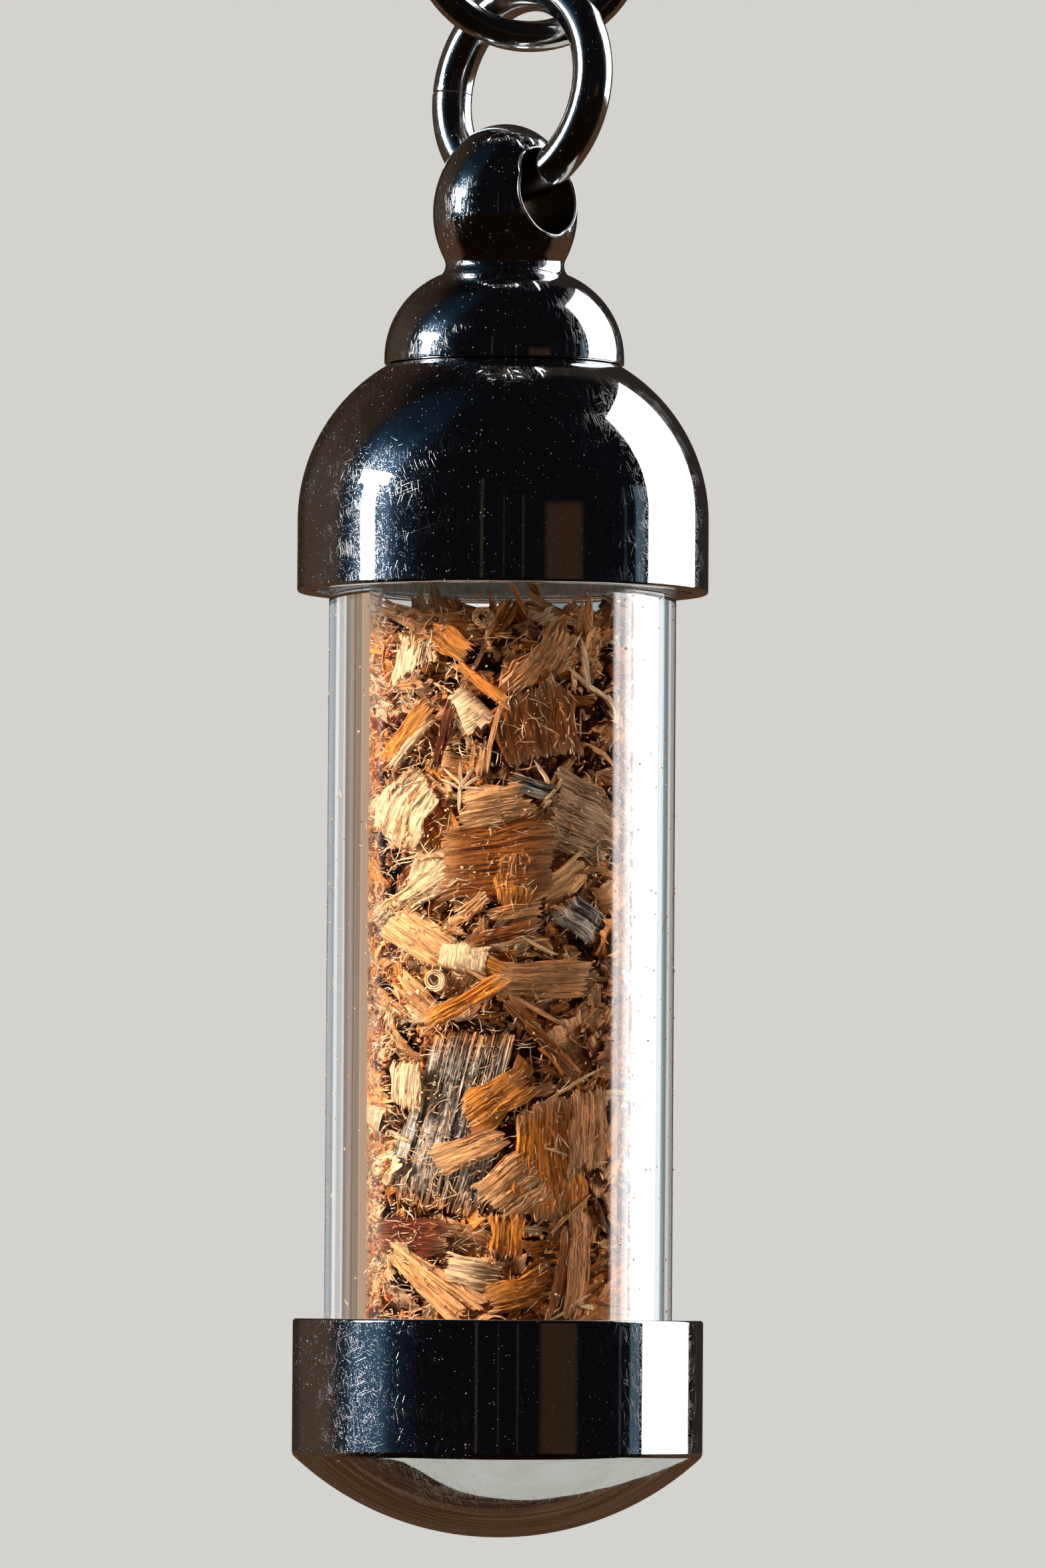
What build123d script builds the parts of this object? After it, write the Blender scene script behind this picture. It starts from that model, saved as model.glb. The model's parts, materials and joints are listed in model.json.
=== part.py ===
"""A clear glass vial with chrome caps, packed with wood shavings and hung on a short chain.

Everything is built upright in millimetres, with the vial's axis on Z and the lowest point of its
domed end at height 0. The finished pieces are then lowered so that the origin is the point of the
top chain link that the whole object hangs from.
"""

import os
from math import cos, radians, sin, sqrt

from build123d import *

# Glass tube
TUBE_RADIUS = 5.0
TUBE_WALL = 1.15
TUBE_LENGTH = 26.8
TUBE_EDGE = 0.2

# Bottom cap
BOTTOM_CAP_WALL = 0.84
BOTTOM_CAP_HEIGHT = 6.25
BOTTOM_DOME_DEPTH = 2.35
BOTTOM_DOME_EDGE = 0.25
BOTTOM_FLOOR_HEIGHT = 2.45
BOTTOM_BOND_THICKNESS = 0.06
BOTTOM_BOND_SETBACK = 0.2
SEAT_PAD_THICKNESS = 0.5
SEAT_PAD_PLAY = 0.08

# Top cap: a straight skirt, a bell above it and a flat for the shoulder dome
SKIRT_WALL = 0.475
SKIRT_HEIGHT = 2.1
RIM_BELOW_TUBE_MOUTH = 2.59
RIM_EDGE = 0.1
BELL_CENTRE_OFFSET = 0.745
BELL_HEIGHT = 4.5
BELL_WALL = 0.73
BELL_TOP_WALL = 0.7
CAVITY_SETBACK = 0.95

# Screw neck and its seal
COLLAR_WALL = 0.34
COLLAR_HEIGHT = 2.4
COLLAR_BOND_THICKNESS = 0.05
THREAD_PLAY = 0.06
GASKET_THICKNESS = 0.4
GASKET_SETBACK = 0.1

# Shoulder dome
SHOULDER_RADIUS = 3.46
SHOULDER_BASE_HEIGHT = 0.18
SHOULDER_DOME_RADIUS = 2.61
SHOULDER_HEIGHT = 2.57

# Eye finial: an egg on a waisted neck, with a stud below
EGG_RADIUS = 2.083
EGG_UPPER_HEIGHT = 2.57
EGG_CROWN_RADIUS = 1.75
EGG_LOWER_HEIGHT = 2.79
EGG_TOP_ABOVE_FOOT = 4.4
EGG_CUT_ABOVE_FOOT = 0.5
NECK_RADIUS = 1.72
NECK_ABOVE_FOOT = 0.24
FOOT_RADIUS = 1.86
STUD_RADIUS = 1.25
STUD_PLAY = 0.05
NUT_ACROSS_FLATS = 5.0
NUT_THICKNESS = 1.6
STUD_PAST_NUT = 0.2
EYE_RADIUS = 1.15
EYE_ABOVE_FOOT = 2.25
EYE_LIP = 0.4
EYE_LIP_DEPTH = 0.8
EYE_YAW = -45.0

# Jump ring through the eye
RING_RADIUS = 2.85
RING_WIRE_RADIUS = 0.575
RING_LEAN = 7.0
RING_SHIFT = 0.3
RING_EYE_PLAY = 0.2
RING_SWING = 45.0
GROOVE_PLAY = 0.15
GROOVE_END_PLAY = 0.18
RING_SPLIT = 0.06

# Chain links: ovals of round wire
LINK_RADIUS = 3.1
LINK_STRAIGHT = 1.4
LINK_WIRE_RADIUS = 0.45
LINK_YAW = 12.0
RING_LINK_PLAY = 0.3
LINK_PLAY = 0.15
LINK_2_SHIFT = 0.35

# Wood shavings, and the larger chips that lie against the glass in pockets of the fill
HEADSPACE = 3.45
FILL_PLAY = 0.1
CHIP_EDGE_PLAY = 0.03
POCKET_PLAY = 0.06

# Each chip: width, length, thickness, azimuth from the front, height above the pad, tilt in degrees
CHIPS = {
    "grey_chip_large": (2.5, 5.0, 0.34, -22.0, 8.95, -14.0),
    "grey_chip_upper": (1.1, 0.75, 0.25, 13.0, 18.45, 8.0),
    "grey_chip_middle": (1.2, 1.4, 0.3, 36.0, 14.75, 12.0),
    "amber_chip_square": (1.0, 1.35, 0.28, 6.5, 15.75, -6.0),
    "amber_sheet": (2.3, 2.1, 0.22, 14.5, 20.25, 10.0),
    "orange_chip": (1.8, 3.2, 0.3, 21.0, 7.85, 4.0),
}

# Heights that follow from the sizes above
tube_bottom = BOTTOM_FLOOR_HEIGHT + SEAT_PAD_THICKNESS
tube_mouth = tube_bottom + TUBE_LENGTH
fill_top = tube_mouth - HEADSPACE
gasket_seat = tube_mouth + GASKET_THICKNESS
rim_height = tube_mouth - RIM_BELOW_TUBE_MOUTH
bell_base = rim_height + SKIRT_HEIGHT
bell_top = bell_base + BELL_HEIGHT
finial_foot = bell_top + SHOULDER_HEIGHT
nut_top = bell_top - BELL_TOP_WALL
eye_height = finial_foot + EYE_ABOVE_FOOT

# Radii that follow from the sizes above
tube_bore = TUBE_RADIUS - TUBE_WALL
bottom_bore = TUBE_RADIUS + BOTTOM_BOND_THICKNESS
bottom_cap_radius = bottom_bore + BOTTOM_CAP_WALL
collar_bore = TUBE_RADIUS + COLLAR_BOND_THICKNESS
collar_radius = collar_bore + COLLAR_WALL
cap_bore = collar_radius + THREAD_PLAY
cavity_radius = cap_bore - CAVITY_SETBACK
top_cap_radius = cap_bore + SKIRT_WALL
bell_radius = top_cap_radius - BELL_CENTRE_OFFSET
stud_hole = STUD_RADIUS + STUD_PLAY


def turned(*edges):
    """A solid turned about the vial's axis from edges drawn as (radius, height)."""
    return revolve(Plane.XZ * make_face(edges), Axis.Z)


def sleeve(inner, outer, low, high):
    """A plain ring between two radii and two heights."""
    return Pos(0, 0, low) * extrude(Circle(outer) - Circle(inner), high - low)


def disc(radius, low, high):
    """A plain round slab between two heights."""
    return Pos(0, 0, low) * extrude(Circle(radius), high - low)


def dome_arc(offset, radius, base, low, high):
    """A dome's outline between two heights; its centre stands off the axis at the base height."""
    ends = [(offset + sqrt(radius**2 - (height - base) ** 2), height) for height in (low, high)]
    middle = (ends[0][0] + ends[1][0]) / 2 - offset, (low + high) / 2 - base
    reach = radius / sqrt(middle[0] ** 2 + middle[1] ** 2)
    return ends[0], (offset + middle[0] * reach, base + middle[1] * reach), ends[1]


def circles_at(solid, height):
    """The round edges of a turned solid that lie at one height."""
    return [edge for edge in solid.edges().filter_by(GeomType.CIRCLE)
            if abs(edge.center().Z - height) < 0.001 and edge.is_closed]


def bottom_cap():
    dome_radius = (bottom_cap_radius**2 + BOTTOM_DOME_DEPTH**2) / (2 * BOTTOM_DOME_DEPTH)
    half_way = bottom_cap_radius / 2
    middle = (half_way, dome_radius - sqrt(dome_radius**2 - half_way**2))
    cap = turned(
        ThreePointArc((0, 0), middle, (bottom_cap_radius, BOTTOM_DOME_DEPTH)),
        Polyline(
            (bottom_cap_radius, BOTTOM_DOME_DEPTH),
            (bottom_cap_radius, BOTTOM_CAP_HEIGHT),
            (bottom_bore, BOTTOM_CAP_HEIGHT),
            (bottom_bore, BOTTOM_FLOOR_HEIGHT),
            (0, BOTTOM_FLOOR_HEIGHT),
            (0, 0),
        ),
    )
    cap = fillet(circles_at(cap, BOTTOM_DOME_DEPTH), BOTTOM_DOME_EDGE)
    return fillet(circles_at(cap, BOTTOM_CAP_HEIGHT), RIM_EDGE)


def glass_tube():
    tube = sleeve(tube_bore, TUBE_RADIUS, tube_bottom, tube_mouth)
    return fillet(tube.edges().filter_by(GeomType.CIRCLE), TUBE_EDGE)


def top_cap():
    inner_radius = bell_radius - BELL_WALL
    cavity_top = bell_base + sqrt(inner_radius**2 - (cavity_radius - BELL_CENTRE_OFFSET) ** 2)
    outer = dome_arc(BELL_CENTRE_OFFSET, bell_radius, bell_base, bell_base, bell_top)
    inner = dome_arc(BELL_CENTRE_OFFSET, inner_radius, bell_base, cavity_top, nut_top)
    cap = turned(
        ThreePointArc(*outer),
        Polyline(outer[2], (stud_hole, bell_top), (stud_hole, nut_top), inner[2]),
        ThreePointArc(*inner),
        Polyline(
            inner[0],
            (cavity_radius, gasket_seat),
            (cap_bore, gasket_seat),
            (cap_bore, rim_height),
            (top_cap_radius, rim_height),
            (top_cap_radius, bell_base),
        ),
    )
    return fillet(circles_at(cap, rim_height), RIM_EDGE)


def shoulder_dome():
    offset = SHOULDER_RADIUS - SHOULDER_DOME_RADIUS
    base = bell_top + SHOULDER_BASE_HEIGHT
    arc = dome_arc(offset, SHOULDER_DOME_RADIUS, base, base, finial_foot)
    return turned(
        ThreePointArc(*arc),
        Polyline(
            arc[2],
            (stud_hole, finial_foot),
            (stud_hole, bell_top),
            (SHOULDER_RADIUS, bell_top),
            (SHOULDER_RADIUS, base),
        ),
    )


def eye_finial():
    egg_top = finial_foot + EGG_TOP_ABOVE_FOOT
    waist = egg_top - EGG_UPPER_HEIGHT
    cut = finial_foot + EGG_CUT_ABOVE_FOOT
    stud_end = nut_top - NUT_THICKNESS - STUD_PAST_NUT

    # Above the waist: a flank arc that runs smoothly into the round crown
    crown_rise = EGG_UPPER_HEIGHT - EGG_CROWN_RADIUS
    spare = EGG_RADIUS - EGG_CROWN_RADIUS
    flank_offset = (crown_rise**2 - spare**2) / (2 * spare)
    flank_radius = EGG_RADIUS + flank_offset
    reach = sqrt(flank_offset**2 + crown_rise**2)
    join = (flank_offset * (flank_radius / reach - 1), waist + flank_radius * crown_rise / reach)
    flank = dome_arc(-flank_offset, flank_radius, waist, waist, join[1])
    crown = dome_arc(0, EGG_CROWN_RADIUS, waist + crown_rise, join[1], egg_top)

    # Below the waist: one arc down to the waisted neck, then its hollow curve out to the foot
    lower_offset = (EGG_LOWER_HEIGHT**2 - EGG_RADIUS**2) / (2 * EGG_RADIUS)
    lower = dome_arc(-lower_offset, EGG_RADIUS + lower_offset, waist, cut, waist)
    egg = turned(
        ThreePointArc(*crown),
        ThreePointArc(*flank),
        ThreePointArc(*lower),
        ThreePointArc(
            lower[0],
            (NECK_RADIUS, finial_foot + NECK_ABOVE_FOOT),
            (FOOT_RADIUS, finial_foot),
        ),
        Polyline(
            (FOOT_RADIUS, finial_foot),
            (STUD_RADIUS, finial_foot),
            (STUD_RADIUS, stud_end),
            (0, stud_end),
            (0, egg_top),
        ),
    )
    egg -= eye_bore()
    for cutter in ring_groove():
        egg -= cutter
    return egg


def eye_bore():
    """The cross hole: a straight bore that opens into a lip at each mouth."""
    lip_start = EGG_RADIUS - EYE_LIP_DEPTH
    bore = Cylinder(EYE_RADIUS, 2 * EGG_RADIUS + 1)
    lip = Cone(EYE_RADIUS, EYE_RADIUS + EYE_LIP, EYE_LIP_DEPTH, align=(Align.CENTER, Align.CENTER, Align.MIN))
    mouths = [turn * Pos(0, 0, lip_start) * lip for turn in (Rot(0, 0, 0), Rot(180, 0, 0))]
    return Plane((0, 0, eye_height), z_dir=eye_direction()) * (bore + mouths[0] + mouths[1])


def ring_groove():
    """The room above the bore that the ring's wire needs as the vial swings on it."""
    low, up, centre = ring_points()
    swing_axis = Axis(low, eye_direction())
    inner = RING_RADIUS - RING_WIRE_RADIUS - GROOVE_PLAY
    reach = 0.94 * inner
    rise = RING_RADIUS - sqrt(inner**2 - reach**2)
    profile = make_face([
        ThreePointArc((reach, rise), (0, RING_RADIUS - inner), (-reach, rise)),
        Polyline((-reach, rise), (-reach, 0), (reach, 0), (reach, rise)),
    ])
    ring_face = Plane(low, x_dir=eye_direction(), z_dir=eye_direction().cross(up)) * profile
    fan = revolve(ring_face.rotate(swing_axis, -RING_SWING), swing_axis, 2 * RING_SWING)
    ends = [ring_body(GROOVE_END_PLAY).rotate(swing_axis, side * RING_SWING) for side in (-1, 1)]
    return fan, *ends


def eye_direction():
    return Vector(cos(radians(EYE_YAW)), sin(radians(EYE_YAW)), 0)


def ring_points():
    """The ring's lowest point, its in-plane up direction and its centre."""
    yaw = radians(EYE_YAW)
    lean = radians(RING_LEAN)
    up = Vector(-sin(yaw) * sin(lean), cos(yaw) * sin(lean), cos(lean))
    low = Vector(
        RING_SHIFT * cos(yaw),
        RING_SHIFT * sin(yaw),
        eye_height + EYE_RADIUS - RING_WIRE_RADIUS - RING_EYE_PLAY,
    )
    return low, up, low + up * RING_RADIUS


def ring_body(play=0.0):
    """The ring's round wire, thickened by a play on request."""
    low, up, centre = ring_points()
    along = eye_direction()
    ring_plane = Plane(centre, x_dir=along, z_dir=along.cross(up))
    return ring_plane * Torus(RING_RADIUS, RING_WIRE_RADIUS + play)


def jump_ring():
    """The ring with its butted ends on the side that points away from the front."""
    low, up, centre = ring_points()
    along = eye_direction()
    ends_plane = Plane(centre - along * RING_RADIUS, x_dir=along, z_dir=up)
    wire = 3 * RING_WIRE_RADIUS
    return ring_body() - ends_plane * Box(wire, wire, RING_SPLIT)


def finial_nut():
    nut = extrude(RegularPolygon(NUT_ACROSS_FLATS / 2, 6, major_radius=False), -NUT_THICKNESS)
    return Pos(0, 0, nut_top) * (nut - Cylinder(stud_hole, 3 * NUT_THICKNESS))


def link_height():
    return 2 * LINK_RADIUS + LINK_STRAIGHT


def chain_link(low_point, yaw):
    """An upright oval link whose wire's centre line passes through low_point at its lowest."""
    half = LINK_STRAIGHT / 2
    right_low, right_high = (LINK_RADIUS, -half), (LINK_RADIUS, half)
    left_low, left_high = (-LINK_RADIUS, -half), (-LINK_RADIUS, half)
    path = Wire([
        Line(right_low, right_high),
        ThreePointArc(right_high, (0, half + LINK_RADIUS), left_high),
        Line(left_high, left_low),
        ThreePointArc(left_low, (0, -half - LINK_RADIUS), right_low),
    ])
    wire = sweep(Plane(right_low, z_dir=(0, 1, 0)) * Circle(LINK_WIRE_RADIUS), path)
    along = (cos(radians(yaw)), sin(radians(yaw)), 0)
    centre = low_point + Vector(0, 0, link_height() / 2)
    return Plane(centre, x_dir=along, z_dir=(sin(radians(yaw)), -cos(radians(yaw)), 0)) * wire


def link_low_points():
    """The lowest wire centre of each link, from the jump ring upwards."""
    low, up, centre = ring_points()
    ring_top = centre + up * RING_RADIUS
    first = ring_top - up * (RING_WIRE_RADIUS + LINK_WIRE_RADIUS + RING_LINK_PLAY)
    rise = link_height() - 2 * LINK_WIRE_RADIUS - LINK_PLAY
    second = Vector(LINK_2_SHIFT, 0, first.Z + rise)
    third = Vector(0, 0, second.Z + rise)
    return first, second, third


def chip_plane(name):
    """A chip's middle plane: it faces outwards and its corners just clear the tube's bore."""
    width, length, thickness, azimuth, height, tilt = CHIPS[name]
    slant = radians(abs(tilt))
    half_chord = (width * cos(slant) + length * sin(slant)) / 2
    reach = sqrt((tube_bore - FILL_PLAY - CHIP_EDGE_PLAY) ** 2 - half_chord**2) - thickness / 2
    outward = Vector(sin(radians(azimuth)), -cos(radians(azimuth)), 0)
    across = Vector(cos(radians(azimuth)), sin(radians(azimuth)), 0)
    origin = outward * reach + Vector(0, 0, tube_bottom + height)
    return Plane(origin, x_dir=across, z_dir=outward) * Rot(0, 0, tilt)


def chip(name):
    width, length, thickness = CHIPS[name][:3]
    return chip_plane(name) * Box(width, length, thickness)


def pocket(name):
    """The room a chip takes in the fill, open towards the glass."""
    width, length, thickness = CHIPS[name][:3]
    room = Box(
        width + 2 * POCKET_PLAY,
        length + 2 * POCKET_PLAY,
        thickness + POCKET_PLAY + TUBE_WALL,
        align=(Align.CENTER, Align.CENTER, Align.MIN),
    )
    return chip_plane(name) * Pos(0, 0, -thickness / 2 - POCKET_PLAY) * room


def wood_shavings():
    fill = disc(tube_bore - FILL_PLAY, tube_bottom, fill_top)
    for name in CHIPS:
        fill -= pocket(name)
    return fill


first_low, second_low, third_low = link_low_points()
hang_height = third_low.Z + link_height() - LINK_WIRE_RADIUS

pieces = {
    "bottom_cap": bottom_cap(),
    "bottom_bond": sleeve(TUBE_RADIUS, bottom_bore, tube_bottom, BOTTOM_CAP_HEIGHT - BOTTOM_BOND_SETBACK),
    "seat_pad": disc(bottom_bore - SEAT_PAD_PLAY, BOTTOM_FLOOR_HEIGHT, tube_bottom),
    "glass_tube": glass_tube(),
    "wood_shavings": wood_shavings(),
    "neck_collar": sleeve(collar_bore, collar_radius, tube_mouth - COLLAR_HEIGHT, tube_mouth),
    "collar_bond": sleeve(TUBE_RADIUS, collar_bore, tube_mouth - COLLAR_HEIGHT, tube_mouth - TUBE_EDGE),
    "mouth_gasket": sleeve(tube_bore + GASKET_SETBACK, cap_bore - GASKET_SETBACK, tube_mouth, gasket_seat),
    "top_cap": top_cap(),
    "shoulder_dome": shoulder_dome(),
    "eye_finial": eye_finial(),
    "finial_nut": finial_nut(),
    "jump_ring": jump_ring(),
    "chain_link_1": chain_link(first_low, LINK_YAW),
    "chain_link_2": chain_link(second_low, LINK_YAW + 90),
    "chain_link_3": chain_link(third_low, LINK_YAW),
}
for chip_name in CHIPS:
    pieces[chip_name] = chip(chip_name)

os.makedirs("parts", exist_ok=True)
for node, shape in pieces.items():
    export_step(Pos(0, 0, -hang_height) * shape, f"parts/{node}.step")
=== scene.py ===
"""Looks for a clear glass vial with chrome caps, full of wood shavings, hung on a short chain."""

import json
from math import acos, asin, atan2, cos, degrees, hypot, pi, radians, sin, sqrt, tan

import bmesh
import bpy
import numpy as np
from mathutils import Matrix, Vector


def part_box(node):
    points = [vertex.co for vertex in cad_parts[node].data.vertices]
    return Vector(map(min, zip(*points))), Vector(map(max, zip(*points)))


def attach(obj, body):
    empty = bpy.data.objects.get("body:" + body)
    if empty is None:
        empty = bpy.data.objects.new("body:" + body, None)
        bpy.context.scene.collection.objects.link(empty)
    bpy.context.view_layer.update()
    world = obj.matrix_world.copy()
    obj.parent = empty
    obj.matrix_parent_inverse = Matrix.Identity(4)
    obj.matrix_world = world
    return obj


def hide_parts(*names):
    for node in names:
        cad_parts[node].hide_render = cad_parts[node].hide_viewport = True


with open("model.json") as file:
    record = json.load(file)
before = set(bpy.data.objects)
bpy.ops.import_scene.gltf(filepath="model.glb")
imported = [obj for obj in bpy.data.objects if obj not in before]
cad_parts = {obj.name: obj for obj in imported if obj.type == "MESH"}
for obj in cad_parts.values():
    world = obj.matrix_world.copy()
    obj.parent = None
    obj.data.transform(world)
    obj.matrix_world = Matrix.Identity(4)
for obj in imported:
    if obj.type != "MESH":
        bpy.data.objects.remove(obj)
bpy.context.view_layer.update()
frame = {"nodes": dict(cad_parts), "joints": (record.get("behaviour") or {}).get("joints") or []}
nodes = frame["nodes"]
joints = {joint["name"]: joint for joint in frame["joints"]}
rng = np.random.default_rng(7)

MM = 0.001
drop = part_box("bottom_cap")[0].z / MM

# Sizes in millimetres; heights are measured up from the lowest point of the bottom cap
TUBE_RADIUS = 5.0
TUBE_BORE = 3.85
TUBE_EDGE = 0.2
BOTTOM_CAP_RADIUS = 5.9
BOTTOM_CAP_HEIGHT = 6.25
BOTTOM_CAP_BORE = 5.06
BOTTOM_FLOOR = 2.45
DOME_DEPTH = 2.35
CAP_RADIUS = 5.925
CAP_BORE = 5.45
BELL_RADIUS = 5.18
BELL_HEIGHT = 4.5
BELL_WALL = 0.73
CAVITY_RADIUS = 4.5
STUD_HOLE = 1.3
STUD_RADIUS = 1.25
SHOULDER_RADIUS = 3.46
SHOULDER_ARC = 2.61
SHOULDER_BASE = 0.18
RIM_ROUND = 0.1
THREAD_PITCH = 0.8
THREAD_DEPTH = 0.2
SEAL_GAP = 0.004
WAIST_RADIUS = 2.083
WAIST_BELOW_TOP = 2.57
CROWN_RADIUS = 1.75
LOWER_REACH = 2.79
NECK_RADIUS = 1.72
FOOT_RADIUS = 1.86
EYE_RADIUS = 1.15
EYE_LIP = 0.08
EYE_LIP_DEPTH = 0.2
EYE_BEAD = 0.045
BEAD_STEP = 0.05
CUT_ABOVE_FOOT = 0.1
CUT_DEPTH = 0.03
EYE_ABOVE_FOOT = 2.25
RING_RADIUS = 2.85
RING_WIRE = 0.575
RING_SWING = 45
LINK_RADIUS = 3.1
LINK_STRAIGHT = 1.4
LINK_WIRE = 0.45
END_CLEARANCE = 0.18
SWEEP_CLEARANCE = 0.15
RING_GAP = 0.0106
ROUND_STEPS = 256
HELD_RUN = 0.3
HELD_EDGE = 0.008


def height(node, end):
    """The height of a node's lowest (0) or highest (1) point above the bottom of the vial."""
    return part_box(node)[end].z / MM - drop


# ---------------------------------------------------------------- meshes

def add_object(name, data):
    made = bpy.data.objects.new(name, data)
    bpy.context.scene.collection.objects.link(made)
    return made


def new_mesh_piece(name, verts, faces, smooth_angle=35):
    """A mesh object from points in metres; edges sharper than the angle stay crisp."""
    mesh = bpy.data.meshes.new(name)
    mesh.from_pydata([tuple(v) for v in verts], [], [tuple(f) for f in faces])
    mesh.validate()
    return finish_mesh(name, mesh, smooth_angle)


def finish_mesh(name, mesh, smooth_angle):
    mesh.polygons.foreach_set("use_smooth", [True] * len(mesh.polygons))
    mesh.set_sharp_from_angle(angle=radians(smooth_angle))
    mesh.update()
    return add_object(name, mesh)


def dress(piece, material, body, slot, *replaced):
    """Gives a piece its material and its body, and hides the CAD nodes that it stands for. The slot is not
    used.
    """
    piece.data.materials.clear()
    piece.data.materials.append(material)
    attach(piece, body)
    if replaced:
        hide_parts(*replaced)
    return piece


def arc(centre, radius, start, end, steps=24):
    """Points on a circle between two angles in degrees."""
    angles = np.radians(np.linspace(start, end, steps + 1))
    return [(centre[0] + radius * cos(a), centre[1] + radius * sin(a)) for a in angles]


def arc_through(first, middle, last, steps=10):
    """Points on the circle through three points, from the first to the last."""
    a, b, c = (complex(*p) for p in (first, middle, last))
    w = (c - a) / (b - a)
    centre = (b - a) * (w - abs(w) ** 2) / (2j * w.imag) + a
    sweep = np.angle((c - centre) / (a - centre))
    points = [centre + (a - centre) * np.exp(1j * sweep * t) for t in np.linspace(0, 1, steps + 1)]
    return [(point.real, point.imag) for point in points]


def soften(path, corner, radius, steps=6):
    """The path with its sharp corner nearest to a point rounded off."""
    points = [np.array(p, float) for p in path]
    at = min(range(len(points)), key=lambda i: hypot(*(points[i] - corner)))
    tip = points[at]
    before = (tip - points[at - 1]) / hypot(*(tip - points[at - 1]))
    after = points[(at + 1) % len(points)] - tip
    after = after / hypot(*after)
    reach = radius * tan(acos(np.clip(before @ after, -1, 1)) / 2)
    head = [p for p in points[:at] if hypot(*(p - tip)) > reach]
    tail = [p for p in points[at + 1:] if hypot(*(p - tip)) > reach]
    start, end = tip - before * reach, tip + after * reach
    bend = [(1 - t) ** 2 * start + 2 * t * (1 - t) * tip + t**2 * end for t in np.linspace(0, 1, steps + 1)]
    return [tuple(p) for p in head + bend + tail]


def hold_walls(path, closed):
    """Adds a point just inside both ends of each long straight run, so that shading stays flat along it."""
    held = []
    count = len(path)
    for i in range(count if closed else count - 1):
        (r0, z0), (r1, z1) = path[i], path[(i + 1) % count]
        held.append((r0, z0))
        length = hypot(r1 - r0, z1 - z0)
        if length > HELD_RUN:
            for t in (HELD_EDGE / length, 1 - HELD_EDGE / length):
                held.append((r0 + (r1 - r0) * t, z0 + (z1 - z0) * t))
    return held if closed else held + [path[-1]]


def lathe(name, path, closed=True, steps=ROUND_STEPS, shape=None):
    """A turned mesh from (radius, height) points in millimetres; shape may move the radii by angle.

    A path that would turn its faces inwards is taken from its other end.
    """
    path = hold_walls(path, closed)
    if sum(r0 * z1 - r1 * z0 for (r0, z0), (r1, z1) in zip(path, path[1:] + path[:1])) < 0:
        path = path[::-1]
    angles = np.arange(steps) * 2 * pi / steps
    verts, rings = [], []
    for radius, level in path:
        if radius < 1e-6:
            rings.append([len(verts)] * steps)
            verts.append((0, 0, (level + drop) * MM))
            continue
        radii = np.full(steps, radius) if shape is None else shape(radius, level, angles)
        rings.append(list(range(len(verts), len(verts) + steps)))
        verts += [(r * cos(a) * MM, r * sin(a) * MM, (level + drop) * MM) for r, a in zip(radii, angles)]
    faces = []
    pairs = list(zip(rings, rings[1:])) + ([(rings[-1], rings[0])] if closed else [])
    for low, high in pairs:
        for i in range(steps):
            j = (i + 1) % steps
            corners = [low[i], low[j], high[j], high[i]]
            faces.append(list(dict.fromkeys(corners)))
    return new_mesh_piece(name, verts, [f for f in faces if len(f) > 2])


def wire(name, centre_line, ups, radius, closed=True, sides=40):
    """A round wire along points in metres, with an up vector for each point."""
    count = len(centre_line)
    verts = []
    for i, (point, up) in enumerate(zip(centre_line, ups)):
        if closed:
            along = centre_line[(i + 1) % count] - centre_line[i - 1]
        else:
            along = centre_line[min(i + 1, count - 1)] - centre_line[max(i - 1, 0)]
        side = along.cross(up).normalized()
        over = side.cross(along).normalized()
        for k in range(sides):
            a = 2 * pi * k / sides
            verts.append(point + (side * cos(a) + over * sin(a)) * radius)
    faces = []
    for i in range(count if closed else count - 1):
        j = (i + 1) % count
        for k in range(sides):
            m = (k + 1) % sides
            faces.append([i * sides + m, i * sides + k, j * sides + k, j * sides + m])
    if not closed:
        faces.append(list(range(sides)))
        faces.append([(count - 1) * sides + k for k in range(sides)][::-1])
    return new_mesh_piece(name, verts, faces, 50)


# ---------------------------------------------------------------- materials

def feed(tree, socket, value):
    """Links a socket to another one, or gives it a plain value."""
    if isinstance(value, bpy.types.NodeSocket):
        tree.links.new(value, socket)
    else:
        socket.default_value = value


def node(tree, kind, inputs=None, **settings):
    made = tree.nodes.new("ShaderNode" + kind)
    for key, value in settings.items():
        setattr(made, key, value)
    for key, value in (inputs or {}).items():
        feed(tree, made.inputs[key], value)
    return made


def empty_material(name):
    material = bpy.data.materials.new(name)
    material.use_nodes = True
    material.node_tree.nodes.clear()
    return material, material.node_tree


def new_material(name):
    """A material with a Principled shader and nothing else."""
    material, tree = empty_material(name)
    shader = node(tree, "BsdfPrincipled")
    output = node(tree, "OutputMaterial", {"Surface": shader.outputs[0]})
    return material, tree, shader, output


def set_inputs(tree, shader, **values):
    for key, value in values.items():
        feed(tree, shader.inputs[key.replace("_", " ").title().replace("Ior", "IOR")], value)


def stretched(tree, vector, factors):
    return node(tree, "VectorMath", {0: vector, 1: factors}, operation="MULTIPLY").outputs[0]


def shaded(tree, colour, factor):
    return node(tree, "VectorMath", {0: colour, "Scale": factor}, operation="SCALE").outputs[0]


def in_millimetres(tree, stretch=(1, 1, 1), turn=(0, 0, 0)):
    """Object coordinates in millimetres, turned and stretched."""
    place = node(tree, "TexCoord").outputs["Object"]
    turned = node(tree, "VectorRotate", {"Vector": place, "Rotation": turn}, rotation_type="EULER_XYZ")
    return stretched(tree, turned.outputs[0], [s / MM for s in stretch])


def noise(tree, vector, scale=1.0, detail=3.0, roughness=0.55):
    return node(tree, "TexNoise", {"Vector": vector, "Scale": scale, "Detail": detail,
                                   "Roughness": roughness}).outputs["Fac"]


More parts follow.
